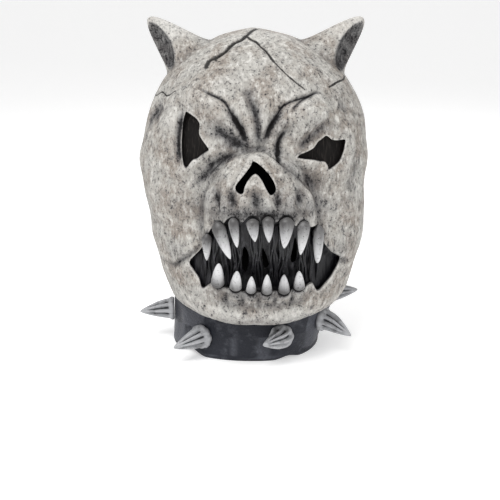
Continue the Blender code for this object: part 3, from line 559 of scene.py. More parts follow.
def prism(outline, front, back):
    """A closed outline seen from the front, made a solid between two depths."""
    mesh = bmesh.new()
    ring = [mesh.verts.new((x, front, z)) for x, z in outline]
    face = mesh.faces.new(ring)
    moved = bmesh.ops.extrude_face_region(mesh, geom=[face])["geom"]
    far = [item for item in moved if isinstance(item, bmesh.types.BMVert)]
    bmesh.ops.translate(mesh, verts=far, vec=(0, back - front, 0))
    bmesh.ops.triangulate(mesh, faces=mesh.faces)
    bmesh.ops.recalc_face_normals(mesh, faces=mesh.faces)
    return to_object(mesh, "cutter")


def scoop_frame(side, *ear):
    """Where the ball that hollows one ear's outer front side lies, and how it is turned and sized."""
    sign = -1 if side == "left" else 1
    root, way = ear_axes(*ear)
    outwards, forwards, upwards = SCOOP_OFFSET
    middle = Vector(root + way * EAR_REACH * SCOOP_ALONG + HEAD_AXIS)
    middle += Vector((sign * outwards, forwards, upwards))
    lengthways = Vector((sign * 0.42, 0, 0.9)).normalized()
    facing = Vector((sign * 0.78, -0.55, 0)).normalized()
    turn = Matrix((lengthways, lengthways.cross(facing), facing)).transposed().to_4x4()
    return Matrix.Translation(middle) @ turn @ Matrix.Diagonal((*SCOOP_SIZE, 1))


def scoop(*ear):
    mesh = bmesh.new()
    bmesh.ops.create_uvsphere(mesh, u_segments=48, v_segments=32, radius=0.5)
    bmesh.ops.transform(mesh, matrix=scoop_frame(*ear), verts=mesh.verts)
    bmesh.ops.recalc_face_normals(mesh, faces=mesh.faces)
    return to_object(mesh, "cutter")


def settle(made):
    """Makes a live modifier's result the object's own mesh."""
    graph = bpy.context.evaluated_depsgraph_get()
    data = bpy.data.meshes.new_from_object(made.evaluated_get(graph))
    made.modifiers.clear()
    made.data = data
    return made


def cut_away(target, cutters):
    for cutter in cutters:
        boolean = target.modifiers.new("cut", "BOOLEAN")
        boolean.object = cutter
        boolean.solver = "MANIFOLD"
    settle(target)
    for cutter in cutters:
        bpy.data.objects.remove(cutter)


holes = ((LEFT_EYE, EYE_CUT_BACK), (RIGHT_EYE, EYE_CUT_BACK), (NOSE, NOSE_CUT_BACK), (MOUTH, MOUTH_CUT_BACK))
cut_away(skull, [
    *(prism(smooth_outline(outline), CUT_FRONT, back) for outline, back in holes),
    *(scoop(*ear) for ear in EARS),
])
skull.data.shade_smooth()
print("skull triangles:", triangles_of(skull))

# %% [markdown]
# ## Measuring where shade and highlight are painted
# The low places are painted darker as painted shade, and the ridges lighter as a painted highlight.
# The mesh itself knows them: a point that lies below the mean of its neighbours is in a hollow. That is
# measured at two sizes, fine for creases and wide for shadows, and kept as attributes for the paint.

# %% Cavities as attributes
def neighbour_mean(edges, degree, values):
    total = np.zeros_like(values)
    np.add.at(total, edges[:, 0], values[edges[:, 1]])
    np.add.at(total, edges[:, 1], values[edges[:, 0]])
    return total / degree


def vectors_of(mesh, name):
    """The places ("co") or normals of a mesh's vertices, as rows of three numbers."""
    values = np.empty(len(mesh.vertices) * 3)
    mesh.vertices.foreach_get(name, values)
    return values.reshape(-1, 3)


def cavity(mesh, rounds, scale):
    """How far each vertex lies under its surroundings, in units of a scale, after rounds of averaging."""
    points, normals = vectors_of(mesh, "co"), vectors_of(mesh, "normal")
    edges = np.empty(len(mesh.edges) * 2, int)
    mesh.edges.foreach_get("vertices", edges)
    edges = edges.reshape(-1, 2)
    degree = np.maximum(np.bincount(edges.ravel(), minlength=len(points)), 1)[:, None]
    moved = points.copy()
    for _ in range(rounds):
        moved = neighbour_mean(edges, degree, moved)
    sunk = np.einsum("ij,ij->i", moved - points, normals)[:, None] / scale
    for _ in range(2):
        sunk = neighbour_mean(edges, degree, sunk)
    return sunk[:, 0]


def set_attribute(mesh, name, values):
    layer = mesh.attributes.get(name) or mesh.attributes.new(name, "FLOAT", "POINT")
    layer.data.foreach_set("value", np.asarray(values, np.float32))


set_attribute(skull.data, "crease", cavity(skull.data, 6, 0.0010))
set_attribute(skull.data, "hollow", cavity(skull.data, 60, 0.0045))
print("attributes:", [layer.name for layer in skull.data.attributes if layer.name in ("crease", "hollow")])

# %% [markdown]
# ## Where shade is painted
# Some shadows are painted on with an airbrush: along the folds, at the temples, inside the ears and in
# a dark ring round each tooth. The folds' darkness was found on the plain grid, so each vertex of the
# cut mesh takes the value of the nearest grid point. A few soft spots of painted shade are listed. The
# lining and the cut walls of the holes are painted black, as painted shade inside the wall.

# %% Painted shade
EAR_SHADE = 0.62
SHADE_COLUMNS = ("across", "up", "half_across_mm", "half_up_mm", "strength")
SHADE = (
    (-0.14, 0.690, 15, 8, 0.80), (-0.29, 0.735, 13, 9, 0.45), (0.03, 0.735, 8, 18, 0.30),
    (0.15, 0.73, 7, 10, 0.45), (0.24, 0.735, 8, 9, 0.40), (0.56, 0.735, 11, 7, 0.40),
    (0.34, 0.615, 12, 7, 0.25), (-0.35, 0.60, 14, 8, 0.34), (-0.42, 0.66, 7, 6, 0.30),
    (-0.22, 0.53, 14, 9, 0.40), (0.03, 0.53, 9, 9, 0.50), (0.25, 0.53, 16, 9, 0.42),
    (0.42, 0.515, 8, 9, 0.45),
    (-0.36, 0.53, 7, 12, 0.35), (0.05, 0.505, 62, 10, 0.72), (0.04, 0.250, 48, 7, 0.62),
    (-0.66, 0.36, 12, 10, 0.25), (0.74, 0.36, 13, 11, 0.25), (0.05, 0.155, 80, 7, 0.35),
)
SHADE += tuple((across, 0.545, 6.0, 10.5, 0.74) for across in ROOT_HOLLOWS)
SHADE += tuple((across, 0.236, 3.6, 10.0, 0.62) for across in LOWER_HOLLOWS)
finder = KDTree(skin.shape[0] * skin.shape[1])
for index, point in enumerate(skin.reshape(-1, 3)):
    finder.insert(point, index)
finder.balance()
vertices = vectors_of(skull.data, "co")
nearest = np.array([finder.find(point)[1] for point in vertices])
points = plain.reshape(-1, 3)[nearest]
shade = line_dark.ravel()[nearest]
crack = line_crack.ravel()[nearest]
for across, up, half_across, half_up, strength in SHADE:
    aside = (points[:, 0] - across * HALF_WIDTH) * 1000 / half_across
    above = (points[:, 2] - up * MASK_HEIGHT) * 1000 / half_up
    away = np.hypot(aside, above)
    shade = np.maximum(shade, strength * np.exp(-away**2) * (points[:, 1] < 0))
in_ear = np.zeros(len(vertices))
for ear in EARS:
    inward = np.array(scoop_frame(*ear).inverted())
    local = vertices @ inward[:3, :3].T + inward[:3, 3]
    in_ear = np.maximum(in_ear, smooth_step((0.54 - np.linalg.norm(local, axis=1)) / 0.03))
shade = np.maximum(shade, EAR_SHADE * in_ear)
# Painted shade: the lining and the cut walls of the holes, which lie under the skin, are painted black.
under_skin = np.linalg.norm(vertices - skin.reshape(-1, 3)[nearest], axis=1)
inner_shade = smooth_step((under_skin - 0.0012) / 0.0012) * (1 - in_ear)
shade = np.maximum(shade, inner_shade)
set_attribute(skull.data, "crack", crack)
print("painted vertices:", int((shade > 0.1).sum()), "in the ears:", int((in_ear > 0.5).sum()))

# %% [markdown]
# ## Teeth
# Each tooth is a pointed form swept along a short spine, set in its gum a little in front of the skin.
# Long canines slant and the lower teeth are short leaves. The root is greyer than the tip.

# %% Teeth
TOOTH_COLUMNS = ("name", "root_across", "root_up", "tip_across", "tip_up", "width", "bluntness")
TEETH = (
    ("upper_tooth_1", -0.385, 0.438, -0.388, 0.352, 0.086, 0.30),
    ("upper_tooth_2", -0.305, 0.482, -0.193, 0.370, 0.116, 0.30),
    ("upper_tooth_3", -0.172, 0.500, -0.137, 0.412, 0.088, 0.28),
    ("upper_tooth_4", -0.020, 0.500, 0.006, 0.433, 0.108, 0.22),
    ("upper_tooth_5", 0.107, 0.506, 0.116, 0.430, 0.100, 0.22),
    ("upper_tooth_6", 0.262, 0.500, 0.238, 0.408, 0.124, 0.26),
    ("upper_tooth_7", 0.402, 0.482, 0.374, 0.378, 0.108, 0.26),
    ("upper_tooth_8", 0.530, 0.450, 0.523, 0.335, 0.096, 0.52),
    ("lower_tooth_1", -0.305, 0.268, -0.288, 0.350, 0.116, 0.42),
    ("lower_tooth_2", -0.157, 0.262, -0.139, 0.328, 0.106, 0.40),
    ("lower_tooth_3", -0.027, 0.254, -0.022, 0.310, 0.090, 0.32),
    ("lower_tooth_4", 0.103, 0.250, 0.106, 0.317, 0.094, 0.32),
    ("lower_tooth_5", 0.246, 0.250, 0.243, 0.314, 0.102, 0.32),
    ("lower_tooth_6", 0.372, 0.258, 0.368, 0.322, 0.100, 0.34),
)
TOOTH_STAND = 0.0020
TOOTH_THICKNESS = 0.75
TOOTH_RETREAT, TOOTH_BOW = 0.25, 0.07


def front_depth(tree, x, z):
    return tree.ray_cast(Vector((x, -1, z)), Vector((0, 1, 0)))[0].y


def swept_form(spine, radii, sides, across_share=1.0, flutes=0, flute_depth=None):
    """A closed form of rings round a spine, with optional flutes along it."""
    spine = np.asarray(spine, float)
    rings = len(spine)
    heading = np.gradient(spine, axis=0)
    heading /= np.linalg.norm(heading, axis=1, keepdims=True)
    upright = abs(spine[-1][2] - spine[0][2]) > 0.8 * np.linalg.norm(spine[-1] - spine[0])
    square = np.array([0, 1, 0] if upright else [0, 0, 1])
    side = np.cross(heading, square)
    side /= np.linalg.norm(side, axis=1, keepdims=True)
    other = np.cross(side, heading)
    mesh = bmesh.new()
    bmesh.ops.create_uvsphere(mesh, u_segments=sides, v_segments=rings - 1, radius=1)
    for vert in mesh.verts:
        ring = round((1 - math.acos(max(-1, min(1, vert.co.z))) / math.pi) * (rings - 1))
        around = math.atan2(vert.co.y, vert.co.x)
        radius = radii[ring] if 0 < ring < rings - 1 else 0
        if flutes:
            radius *= 1 - flute_depth[ring] * (0.5 - 0.5 * math.cos(flutes * around)) ** 1.5
        reach = side[ring] * math.cos(around) + other[ring] * math.sin(around) * across_share
        vert.co = spine[ring] + reach * radius
    bmesh.ops.recalc_face_normals(mesh, faces=mesh.faces)
    if mesh.calc_volume(signed=True) < 0:
        bmesh.ops.reverse_faces(mesh, faces=mesh.faces)
    return mesh


teeth = []
for name, root_across, root_up, tip_across, tip_up, width, bluntness in TEETH:
    ends = []
    for place_across, place_up in ((root_across, root_up), (tip_across, tip_up)):
        x, z = place_across * HALF_WIDTH + HEAD_AXIS[0], place_up * MASK_HEIGHT
        y = front_depth(plain_tree, x - HEAD_AXIS[0], z) + HEAD_AXIS[1] - TOOTH_STAND
        ends.append(np.array([x, y, z]))
    root, tip = ends
    tip[1] = min(tip[1], root[1] + TOOTH_RETREAT * abs(root[2] - tip[2]))
    length = np.linalg.norm(tip - root)
    shares = (1 - np.cos(np.linspace(0, math.pi, 23))) / 2
    body = np.minimum(1, (shares / 0.16) ** 0.5) * (1 - shares**1.7) ** (0.95 - bluntness)
    spine = root + (tip - root) * shares[:, None]
    spine[:, 1] -= TOOTH_BOW * length * np.sin(math.pi * shares)
    tooth = to_object(swept_form(spine, body * width * HALF_WIDTH / 2, 24, TOOTH_THICKNESS), name + "_shown")
    tip_share = np.clip((vectors_of(tooth.data, "co") - root) @ (tip - root) / length**2, 0, 1)
    set_attribute(tooth.data, "tip", tip_share)
    teeth.append((tooth, name))
    # Painted shade: a dark ring round the tooth's root goes into the skull's shade.
    away, _ = way_to(np.array([root * 0.80 + tip * 0.20, (root + tip) / 2]) - HEAD_AXIS, points)
    outside = np.maximum(away - width * HALF_WIDTH * 0.46, 0)
    ring = 0.55 * np.exp(-((outside / 0.0020) ** 2)) + 0.45 * np.exp(-((outside / 0.0060) ** 2))
    shade = np.maximum(shade, np.minimum(ring, 1.1) * (points[:, 1] < 0))
set_attribute(skull.data, "shade", shade)
print("teeth:", len(teeth), "triangles in one:", triangles_of(teeth[0][0]))

# %% [markdown]
# ## The torn flesh
# Behind the teeth hangs a dark lining with vertical strands, like dried sinew. A sheet follows the
# inside of the wall and sags into the mouth. It is cut by three slots that the wearer breathes through.
# Geometry Nodes then lays tubes along it, because strands repeat and follow its surface.

# %% The sheets behind the holes
SHEET_SQUARENESS = 2.4
SHEETS = {
    "mouth_flesh": (0.092, 0.368, 0.668, 0.145),
    "left_eye_gauze": (-0.482, 0.696, 0.160, 0.096),
    "right_eye_gauze": (0.548, 0.657, 0.220, 0.059),
}
FLESH_SLOTS = (
    ((-0.085, 0.400), (-0.050, 0.380), (-0.048, 0.340), (-0.075, 0.305), (-0.100, 0.340)),
    ((0.065, 0.400), (0.095, 0.375), (0.118, 0.335), (0.085, 0.325), (0.066, 0.355)),
    ((0.330, 0.425), (0.350, 0.395), (0.345, 0.345), (0.300, 0.345), (0.312, 0.390)),
)
SHEET_GAP, SHEET_WALL = 0.0010, 0.0012


def backing_depth(x, z):
    """The depth of the wall's inside at a place seen from the front."""
    return front_depth(lining_tree, x, z)


def sheet_object(name, spokes, rings, recess, wrinkle):
    """A rounded disc behind a hole, sagging back from its rim, with vertical wrinkles."""
    across, up, half_across, half_up = SHEETS[name]
    power = 2 / SHEET_SQUARENESS
    turns = np.linspace(-math.pi, math.pi, spokes + 1)
    shares = np.linspace(0, 1, rings + 1)
    points = np.zeros((rings + 1, spokes + 1, 3))
    for row, share in enumerate(shares):
        for column, turn in enumerate(turns):
            aside = half_across * share * signed_power(math.cos(turn), power)
            above = half_up * share * signed_power(math.sin(turn), power)
            x = (across + aside) * HALF_WIDTH + HEAD_AXIS[0]
            z = (up + above) * MASK_HEIGHT
            sunk = recess * smooth_step(2.2 * (1 - share))
            fold = noise.noise(Vector((x / 0.0050, 7.0, z / 0.030))) * wrinkle * smooth_step(4 * (1 - share))
            points[row, column] = (x, backing_depth(x, z) + SHEET_GAP + sunk + fold, z)
    mesh = rolled_mesh(points)
    front = sum((face.normal * face.calc_area() for face in mesh.faces), Vector())
    if front.y > 0:
        bmesh.ops.reverse_faces(mesh, faces=mesh.faces)
    made = to_object(mesh, name + "_shown")
    wall = made.modifiers.new("wall", "SOLIDIFY")
    wall.thickness = SHEET_WALL
    wall.offset = -1
    return settle(made)


flesh = sheet_object("mouth_flesh", spokes=150, rings=60, recess=0.0045, wrinkle=0.0016)
cut_away(flesh, [prism(smooth_outline(slot), CUT_FRONT, MOUTH_CUT_BACK) for slot in FLESH_SLOTS])
gauze_shape = {"spokes": 60, "rings": 24, "recess": 0.0, "wrinkle": 0.0006}
gauzes = [sheet_object(name, **gauze_shape) for name in ("left_eye_gauze", "right_eye_gauze")]
print("lining triangles:", len(flesh.data.polygons))

# %% [markdown]
# ## Strands
# Each strand is a curve from the upper gum to the lower one. The tree draws a thin tube along every
# curve with an uneven radius. Its sizes are named inputs, and its noise is fixed in space, so each run
# draws the same strands.

# %% A tree that draws strands
def plug(links, value, socket):
    """Links a socket, or sets its own value."""
    if isinstance(value, bpy.types.NodeSocket):
        links.new(value, socket)
    else:
        socket.default_value = value


def add_node(nodes, plug_in, kind, settings, inputs):
    """Any node, from its type, its settings and the values or links of its sockets, by name or number."""
    made = nodes.new(kind)
    for key, value in (settings or {}).items():
        setattr(made, key, value)
    for key, value in inputs.items():
        plug_in(value, made.inputs[int(key[1:]) if key[1:].isdigit() else key.replace("_", " ")])
    return made


class Tree:
    """A Geometry Nodes tree that is built from Python calls."""

    def __init__(self, name, inputs):
        self.tree = bpy.data.node_groups.new(name, "GeometryNodeTree")
        self.tree.interface.new_socket("Geometry", in_out="INPUT", socket_type="NodeSocketGeometry")
        self.ids = {}
        for label, kind in inputs.items():
            socket = self.tree.interface.new_socket(label, in_out="INPUT", socket_type=kind)
            self.ids[label] = socket.identifier
        self.tree.interface.new_socket("Geometry", in_out="OUTPUT", socket_type="NodeSocketGeometry")
        self.entry = self.tree.nodes.new("NodeGroupInput")
        self.exit = self.tree.nodes.new("NodeGroupOutput")

    def plug(self, value, socket):
        plug(self.tree.links, value, socket)

    def node(self, kind, settings=None, **inputs):
        return add_node(self.tree.nodes, self.plug, kind, settings, inputs).outputs[0]

    def end(self, geometry, material):
        real = self.node("GeometryNodeRealizeInstances", Geometry=geometry)
        painted = self.node("GeometryNodeSetMaterial", Geometry=real, Material=material)
        self.tree.links.new(painted, self.exit.inputs[0])

    def apply(self, target, **values):
        """Puts the tree on an object, sets its inputs by identifier and makes the result a plain mesh."""
        modifier = target.modifiers.new(self.tree.name, "NODES")
        modifier.node_group = self.tree
        for label, value in values.items():
            modifier[self.ids[label.replace("_", " ")]] = value
        graph = bpy.context.evaluated_depsgraph_get()
        data = bpy.data.meshes.new_from_object(target.evaluated_get(graph))
        made = bpy.data.objects.new(target.name + "_drawn", data)
        bpy.context.scene.collection.objects.link(made)
        bpy.data.objects.remove(target)
        data.shade_smooth()
        return made


def strand_tree(material):
    tree = Tree("strands", {"Radius": "NodeSocketFloat", "Unevenness": "NodeSocketFloat"})
    place = tree.node("GeometryNodeInputPosition")
    uneven = tree.node("ShaderNodeTexNoise", {"noise_dimensions": "3D"}, Vector=place, Scale=160.0)
    radius = uneven
    for label in ("Unevenness", "Radius"):
        factor = tree.entry.outputs[label]
        radius = tree.node("ShaderNodeMath", {"operation": "MULTIPLY"}, _0=radius, _1=factor)
    profile = tree.node("GeometryNodeCurvePrimitiveCircle", Resolution=6, Radius=1.0)
    curves = tree.entry.outputs["Geometry"]
    shape = {"Curve": curves, "Profile_Curve": profile, "Scale": radius, "Fill_Caps": True}
    tubes = tree.node("GeometryNodeCurveToMesh", None, **shape)
    tree.end(tubes, material)
    return tree

# %% [markdown]
# ## Shader maths in plain Python
# A paint job is arithmetic on masks: where it is low and rough, go darker. `Term` wraps one socket and
# turns `+`, `-` and `*` into Math nodes, so a mask reads like a formula. `Paint` holds one material.
# Colours are mixed by its `mix`, because a Math node would turn them grey.

# %% Term and Paint
class Term:
    """A number that varies over a surface."""

    def __init__(self, paint, socket):
        self.paint, self.socket = paint, socket

    def _math(self, operation, *terms):
        inputs = {f"_{index}": term for index, term in enumerate(terms)}
        return self.paint.number("ShaderNodeMath", {"operation": operation}, **inputs)

    def __add__(self, other):
        return self._math("ADD", self, other)

    def __sub__(self, other):
        return self._math("SUBTRACT", self, other)

    def __rsub__(self, other):
        return self._math("SUBTRACT", other, self)

    def __mul__(self, other):
        return self._math("MULTIPLY", self, other)

    __radd__, __rmul__ = __add__, __mul__

    def at_most(self, other):
        return self._math("MINIMUM", self, other)

    def at_least(self, other):
        return self._math("MAXIMUM", self, other)

    def step(self, low, high):
        """0 below low, 1 above high and smooth between them."""
        settings = {"interpolation_type": "SMOOTHSTEP"}
        return self.paint.number("ShaderNodeMapRange", settings, Value=self, From_Min=low, From_Max=high)


class Paint:
    """A material with one Principled shader."""

    def __init__(self, name, roughness, specular=0.5):
        self.material = bpy.data.materials.new(name)
        self.material.use_nodes = True
        self.nodes, self.links = self.material.node_tree.nodes, self.material.node_tree.links
        self.shader = self.nodes["Principled BSDF"]
        self.shader.inputs["Roughness"].default_value = roughness
        self.shader.inputs["Specular IOR Level"].default_value = specular
        self.place = self.nodes.new("ShaderNodeTexCoord").outputs["Object"]

    def plug(self, value, socket):
        plug(self.links, value.socket if isinstance(value, Term) else value, socket)

    def node(self, kind, settings=None, **inputs):
        return add_node(self.nodes, self.plug, kind, settings, inputs)

    def number(self, kind, settings=None, output=0, **inputs):
        return Term(self, self.node(kind, settings, **inputs).outputs[output])

    def attribute(self, name):
        return self.number("ShaderNodeAttribute", {"attribute_name": name}, output="Fac")

    def squeezed(self, scale):
        """Object coordinates with each axis scaled, for grain that runs one way."""
        return self.node("ShaderNodeMapping", None, Vector=self.place, Scale=scale).outputs[0]

    def noise(self, scale, detail=4.0, roughness=0.6, place=None):
        shape = {"Scale": scale, "Detail": detail, "Roughness": roughness}
        return self.number("ShaderNodeTexNoise", None, Vector=place or self.place, **shape)

    def cells(self, scale, place=None):
        return self.number("ShaderNodeTexVoronoi", None, Vector=place or self.place, Scale=scale)

    def mix(self, factor, low, high):
        made = self.node("ShaderNodeMix", {"data_type": "RGBA"})
        self.plug(factor, made.inputs[0])
        for index, colour in ((6, low), (7, high)):
            self.plug((*colour, 1) if isinstance(colour, tuple) else colour, made.inputs[index])
        return made.outputs[2]

    def set(self, **inputs):
        for key, value in inputs.items():
            self.plug(value, self.shader.inputs[key.replace("_", " ")])

    def bump(self, height, distance, strength=1.0):
        made = self.node("ShaderNodeBump", None, Height=height, Distance=distance, Strength=strength)
        self.links.new(made.outputs[0], self.shader.inputs["Normal"])


# %% [markdown]
# ## Bone paint
# The base is a grey bone colour with brown blotches. Black is dabbed on in specks. Painted shade darkens
# the creases, the hollows and the cracks, and a painted highlight lightens the ridges and the rims of pits.

# %% The skull's paint
BONE, PALE_BONE = (0.46, 0.445, 0.415), (0.74, 0.725, 0.69)
TAN, BROWN = (0.32, 0.282, 0.245), (0.13, 0.114, 0.100)
# Blue-black and black for both the painted shade and the black specks.
SPECK_AND_SHADE_BLACK, SPECK_AND_SHADE_BLUE = (0.010, 0.009, 0.009), (0.030, 0.032, 0.042)
bone = Paint("bone_latex", 0.6, 0.18)
crease, hollow, shade_mask = bone.attribute("crease"), bone.attribute("hollow"), bone.attribute("shade")
crack_way = bone.attribute("crack")
blotches, mottle = bone.noise(36.0, 5.0, 0.62), bone.noise(120.0, 7.0, 0.72)
grains, hairs = bone.noise(520.0, 4.0, 0.7), bone.noise(300.0, 5.0, 0.7, bone.squeezed((1.0, 1.0, 0.45)))
pits = bone.cells(300.0)
skin_colour = bone.mix(blotches.step(0.38, 0.66), BONE, TAN)
skin_colour = bone.mix(mottle.step(0.50, 0.70) * 0.45, skin_colour, BROWN)
skin_colour = bone.mix((hairs * 0.5 + mottle * 0.5).step(0.50, 0.36) * 0.8, skin_colour, PALE_BONE)
# Painted highlight: the ridges, where the surface bulges above its neighbours, are lighter.
skin_colour = bone.mix((crease * -1.0).step(0.05, 0.55) * 0.42, skin_colour, PALE_BONE)
specks = (grains * 0.5 + hairs * 0.5).step(0.500, 0.585) * mottle.step(0.36, 0.58)
pocks = (1 - pits.step(0.10, 0.34)) * hairs.step(0.44, 0.58)
# Painted shade from the shade attribute, broken up by grain: the airbrushed shadows.
shade_grain = (grains * 0.4 + hairs * 0.3 + mottle * 0.3 - 0.5) * 2.6
airbrush = (shade_mask * (1.20 + shade_grain * 0.60) - 0.04).at_least(0.0)
# Painted shade in the creases and hollows, where the surface lies below its neighbours.
cavity_shade = (crease * 0.34).at_least(0.0).at_most(0.36) + (hollow * 0.17).at_least(0.0).at_most(0.17)
clear = (1 - cavity_shade) * (1 - specks * 0.72) * (1 - pocks * 0.62)
black = (1 - (1 - airbrush.at_most(1.0)) * clear).at_least(0.0).at_most(0.97)
# Painted shade: a near-black line along each crack.
crack_shade_line = 1 - (crack_way + (grains - 0.5) * 2.4 + (mottle - 0.5) * 4.0).step(0.9, 2.2)
# The painted shade and the black specks are mixed in here, towards blue-black and black.
specked_and_shaded = bone.mix(black.step(0.62, 0.98), bone.mix(black, skin_colour, SPECK_AND_SHADE_BLUE), SPECK_AND_SHADE_BLACK)
bone.set(Base_Color=bone.mix(crack_shade_line * 0.93, specked_and_shaded, SPECK_AND_SHADE_BLACK), Roughness=0.50 + grains * 0.22)
bone.bump(mottle * 0.7 + grains * 0.35 + hairs * 0.45 + pits.step(0.0, 0.32) * 0.5, 0.0016, 1.0)
skull.data.materials.clear()
skull.data.materials.append(bone.material)

# %% [markdown]
# ## Enamel, sinew, gauze, rubber
# The teeth are pale at the tip and grey where the wash settled at the root. The lining shines a little,
# as wet tissue would. The gauze is matt. The collar is black with grey smears and a painted highlight on
# its high places. The spikes' flutes are painted dark as painted shade.

# %% The other paints
enamel = Paint("tooth_enamel", 0.42)
tip, streaks = enamel.attribute("tip"), enamel.noise(60.0, 4.0, 0.6, enamel.squeezed((1, 1, 0.22)))
stains = enamel.noise(420.0, 3.0)
near_root = (1 - tip.step(0.06, 0.84)) * (streaks + 0.42)
root_wash = (near_root + stains.step(0.56, 0.70) * 0.35).at_most(0.93)
tooth_colour = enamel.mix(streaks.step(0.42, 0.62), (0.70, 0.70, 0.705), (0.47, 0.47, 0.48))
enamel.set(Base_Color=enamel.mix(root_wash, tooth_colour, (0.05, 0.047, 0.046)))
enamel.bump(stains, 0.0003, 0.6)

sinew = Paint("torn_flesh", 0.30, 0.38)
fibres = sinew.noise(240.0, 4.0, 0.65, sinew.squeezed((1, 1, 0.14)))
sinew_colour = sinew.mix(fibres.step(0.50, 0.72), (0.006, 0.006, 0.008), (0.058, 0.057, 0.064))
sinew.set(Base_Color=sinew_colour, Roughness=0.22 + fibres * 0.3)
sinew.bump(fibres, 0.0012, 0.9)

mesh_cloth = Paint("eye_gauze", 0.9, 0.2)
threads = mesh_cloth.noise(900.0, 1.0, 0.5, mesh_cloth.squeezed((1, 1, 0.08)))
cloth_colour = mesh_cloth.mix(threads.step(0.5, 0.7), (0.009, 0.008, 0.0075), (0.028, 0.024, 0.022))
mesh_cloth.set(Base_Color=cloth_colour)
mesh_cloth.bump(threads, 0.0004, 0.7)

rubber = Paint("collar_latex", 0.46, 0.28)
collar_crease = rubber.attribute("crease")
smears, dust = rubber.noise(70.0, 5.0, 0.65), rubber.noise(520.0, 4.0, 0.65)
# Painted highlight: the collar's ridges are lighter; the grey smears on top are marks on the rubber.
ridges = (collar_crease * -1.0).step(0.02, 0.5) * 0.6
highlight_and_smears = ((ridges + smears.step(0.50, 0.66) * 0.45) * (dust * 1.4)).at_most(0.8)
rubber_colour = rubber.mix(highlight_and_smears, (0.017, 0.019, 0.027), (0.125, 0.130, 0.152))
rubber.set(Base_Color=rubber_colour, Roughness=0.36 + dust * 0.25)
rubber.bump(dust * 0.6 + smears, 0.0015, 0.9)

horn = Paint("spike_latex", 0.40)
flute, horn_dust = horn.attribute("flute"), horn.noise(380.0, 5.0, 0.65)
horn_smear = horn.noise(85.0, 4.0, 0.6)
horn_marks = horn_smear.step(0.50, 0.68) * 0.5 + horn_dust.step(0.56, 0.70) * 0.4
# Painted shade: the flutes, where the surface lies below its neighbours, are dark; smears and dust are marks.
flute_shade_and_marks = (flute.step(0.14, 0.60) * 0.90 + horn_marks).at_most(0.95)
horn.set(Base_Color=horn.mix(flute_shade_and_marks, (0.40, 0.405, 0.42), (0.026, 0.027, 0.032)))
horn.bump(horn_dust * 0.6 + horn_smear * 0.4, 0.0006, 0.7)
for tooth, _ in teeth:
    tooth.data.materials.append(enamel.material)
flesh.data.materials.clear()
flesh.data.materials.append(sinew.material)
for gauze in gauzes:
    gauze.data.materials.append(mesh_cloth.material)
print("paints:", [material.name for material in bpy.data.materials if material.users])

# %% Strands across the mouth
STRANDS = (
    (-0.335, -0.300), (-0.250, -0.262), (-0.205, -0.190), (-0.150, -0.170), (-0.118, -0.128), (-0.020, 0.012),
    (0.020, -0.012), (0.048, 0.060), (0.135, 0.120), (0.165, 0.180), (0.205, 0.192), (0.255, 0.270),
    (0.295, 0.262), (0.375, 0.400), (0.415, 0.392), (0.455, 0.470), (0.505, 0.480), (-0.395, -0.350),
    (-0.285, -0.335), (-0.228, -0.215), (-0.178, -0.145), (-0.132, -0.108), (-0.030, -0.010), (0.000, 0.022),
    (0.034, 0.044), (0.150, 0.142), (0.180, 0.160), (0.222, 0.238), (0.240, 0.214), (0.275, 0.250),
    (0.392, 0.372), (0.435, 0.420), (0.540, 0.520), (-0.430, -0.400),
)
curve = bpy.data.curves.new("strand_paths", "CURVE")
curve.dimensions = "3D"
for index, (top, bottom) in enumerate(STRANDS):
    spline = curve.splines.new("POLY")
    spline.points.add(15)
    for step, point in enumerate(spline.points):
        share = step / 15
        sway = 0.012 * math.sin(9 * share + index) * math.sin(math.pi * share)
        x = (top + (bottom - top) * share + sway) * HALF_WIDTH + HEAD_AXIS[0]
        z = (0.470 - 0.205 * share) * MASK_HEIGHT
        point.co = (x, backing_depth(x, z) + 0.0030 - 0.0022 * math.sin(math.pi * share), z, 1)
paths = bpy.data.objects.new("strand_paths", curve)
bpy.context.scene.collection.objects.link(paths)
strands = strand_tree(sinew.material).apply(paths, Radius=0.0011, Unevenness=2.2)
strands.name = "mouth_strands"
print("strand size:", strands.dimensions)

# %% [markdown]
# ## The collar
# A rubber strap is moulded round the neck with a wavy hem. Its section is a flat ring, swept round the
# neck's own outline, and shallow wrinkles run mostly round it.

# %% Collar band
COLLAR_GAP, COLLAR_WALL, COLLAR_WRINKLE, HEM_LIFT = 0.0016, 0.0035, 0.0026, 0.008
HEM_LIFTS = ((-52, 20, 1.00), (28, 14, 0.35), (128, 26, 0.45), (-132, 24, 0.40))
NECK_ROWS = 3


def neck_points(angle, z, out):
    """Points beside the neck at a height, moved out from its skin, and the way out."""
    heights = [section[1] * MASK_HEIGHT for section in SECTIONS[:NECK_ROWS]]
    position = np.interp(z, heights, range(NECK_ROWS))
    before, here, after = (head_form(angle + turn, position) for turn in (-0.01, 0.0, 0.01))
    along = (after - before)[..., :2]
    outwards = np.stack([-along[..., 1], along[..., 0]], axis=-1)
    outwards = outwards / np.linalg.norm(along, axis=-1, keepdims=True)
    inward = np.sum(outwards * here[..., :2], axis=-1, keepdims=True) < 0
    outwards = np.where(inward, -outwards, outwards)
    place = here[..., :2] + outwards * np.asarray(out)[..., None]
    return np.concatenate([place, np.asarray(z)[..., None]], axis=-1) + HEAD_AXIS, outwards


def hem_height(angle):
    lift = 0.0
    for centre, spread, share in HEM_LIFTS:
        away = (np.degrees(angle) - centre + 180) % 360 - 180
        lift = lift + share * smooth_step(1 - np.abs(away) / spread)
    return lift * HEM_LIFT


def collar_section(steps):
    """The strap's section as (out, up) shares, with rounded corners, going round it once."""
    turn = np.linspace(0, 2 * math.pi, steps + 1)
    out = signed_power(np.cos(turn), 0.35) / 2 + 0.5
    up = signed_power(np.sin(turn), 0.16) / 2 + 0.5
    return out, up


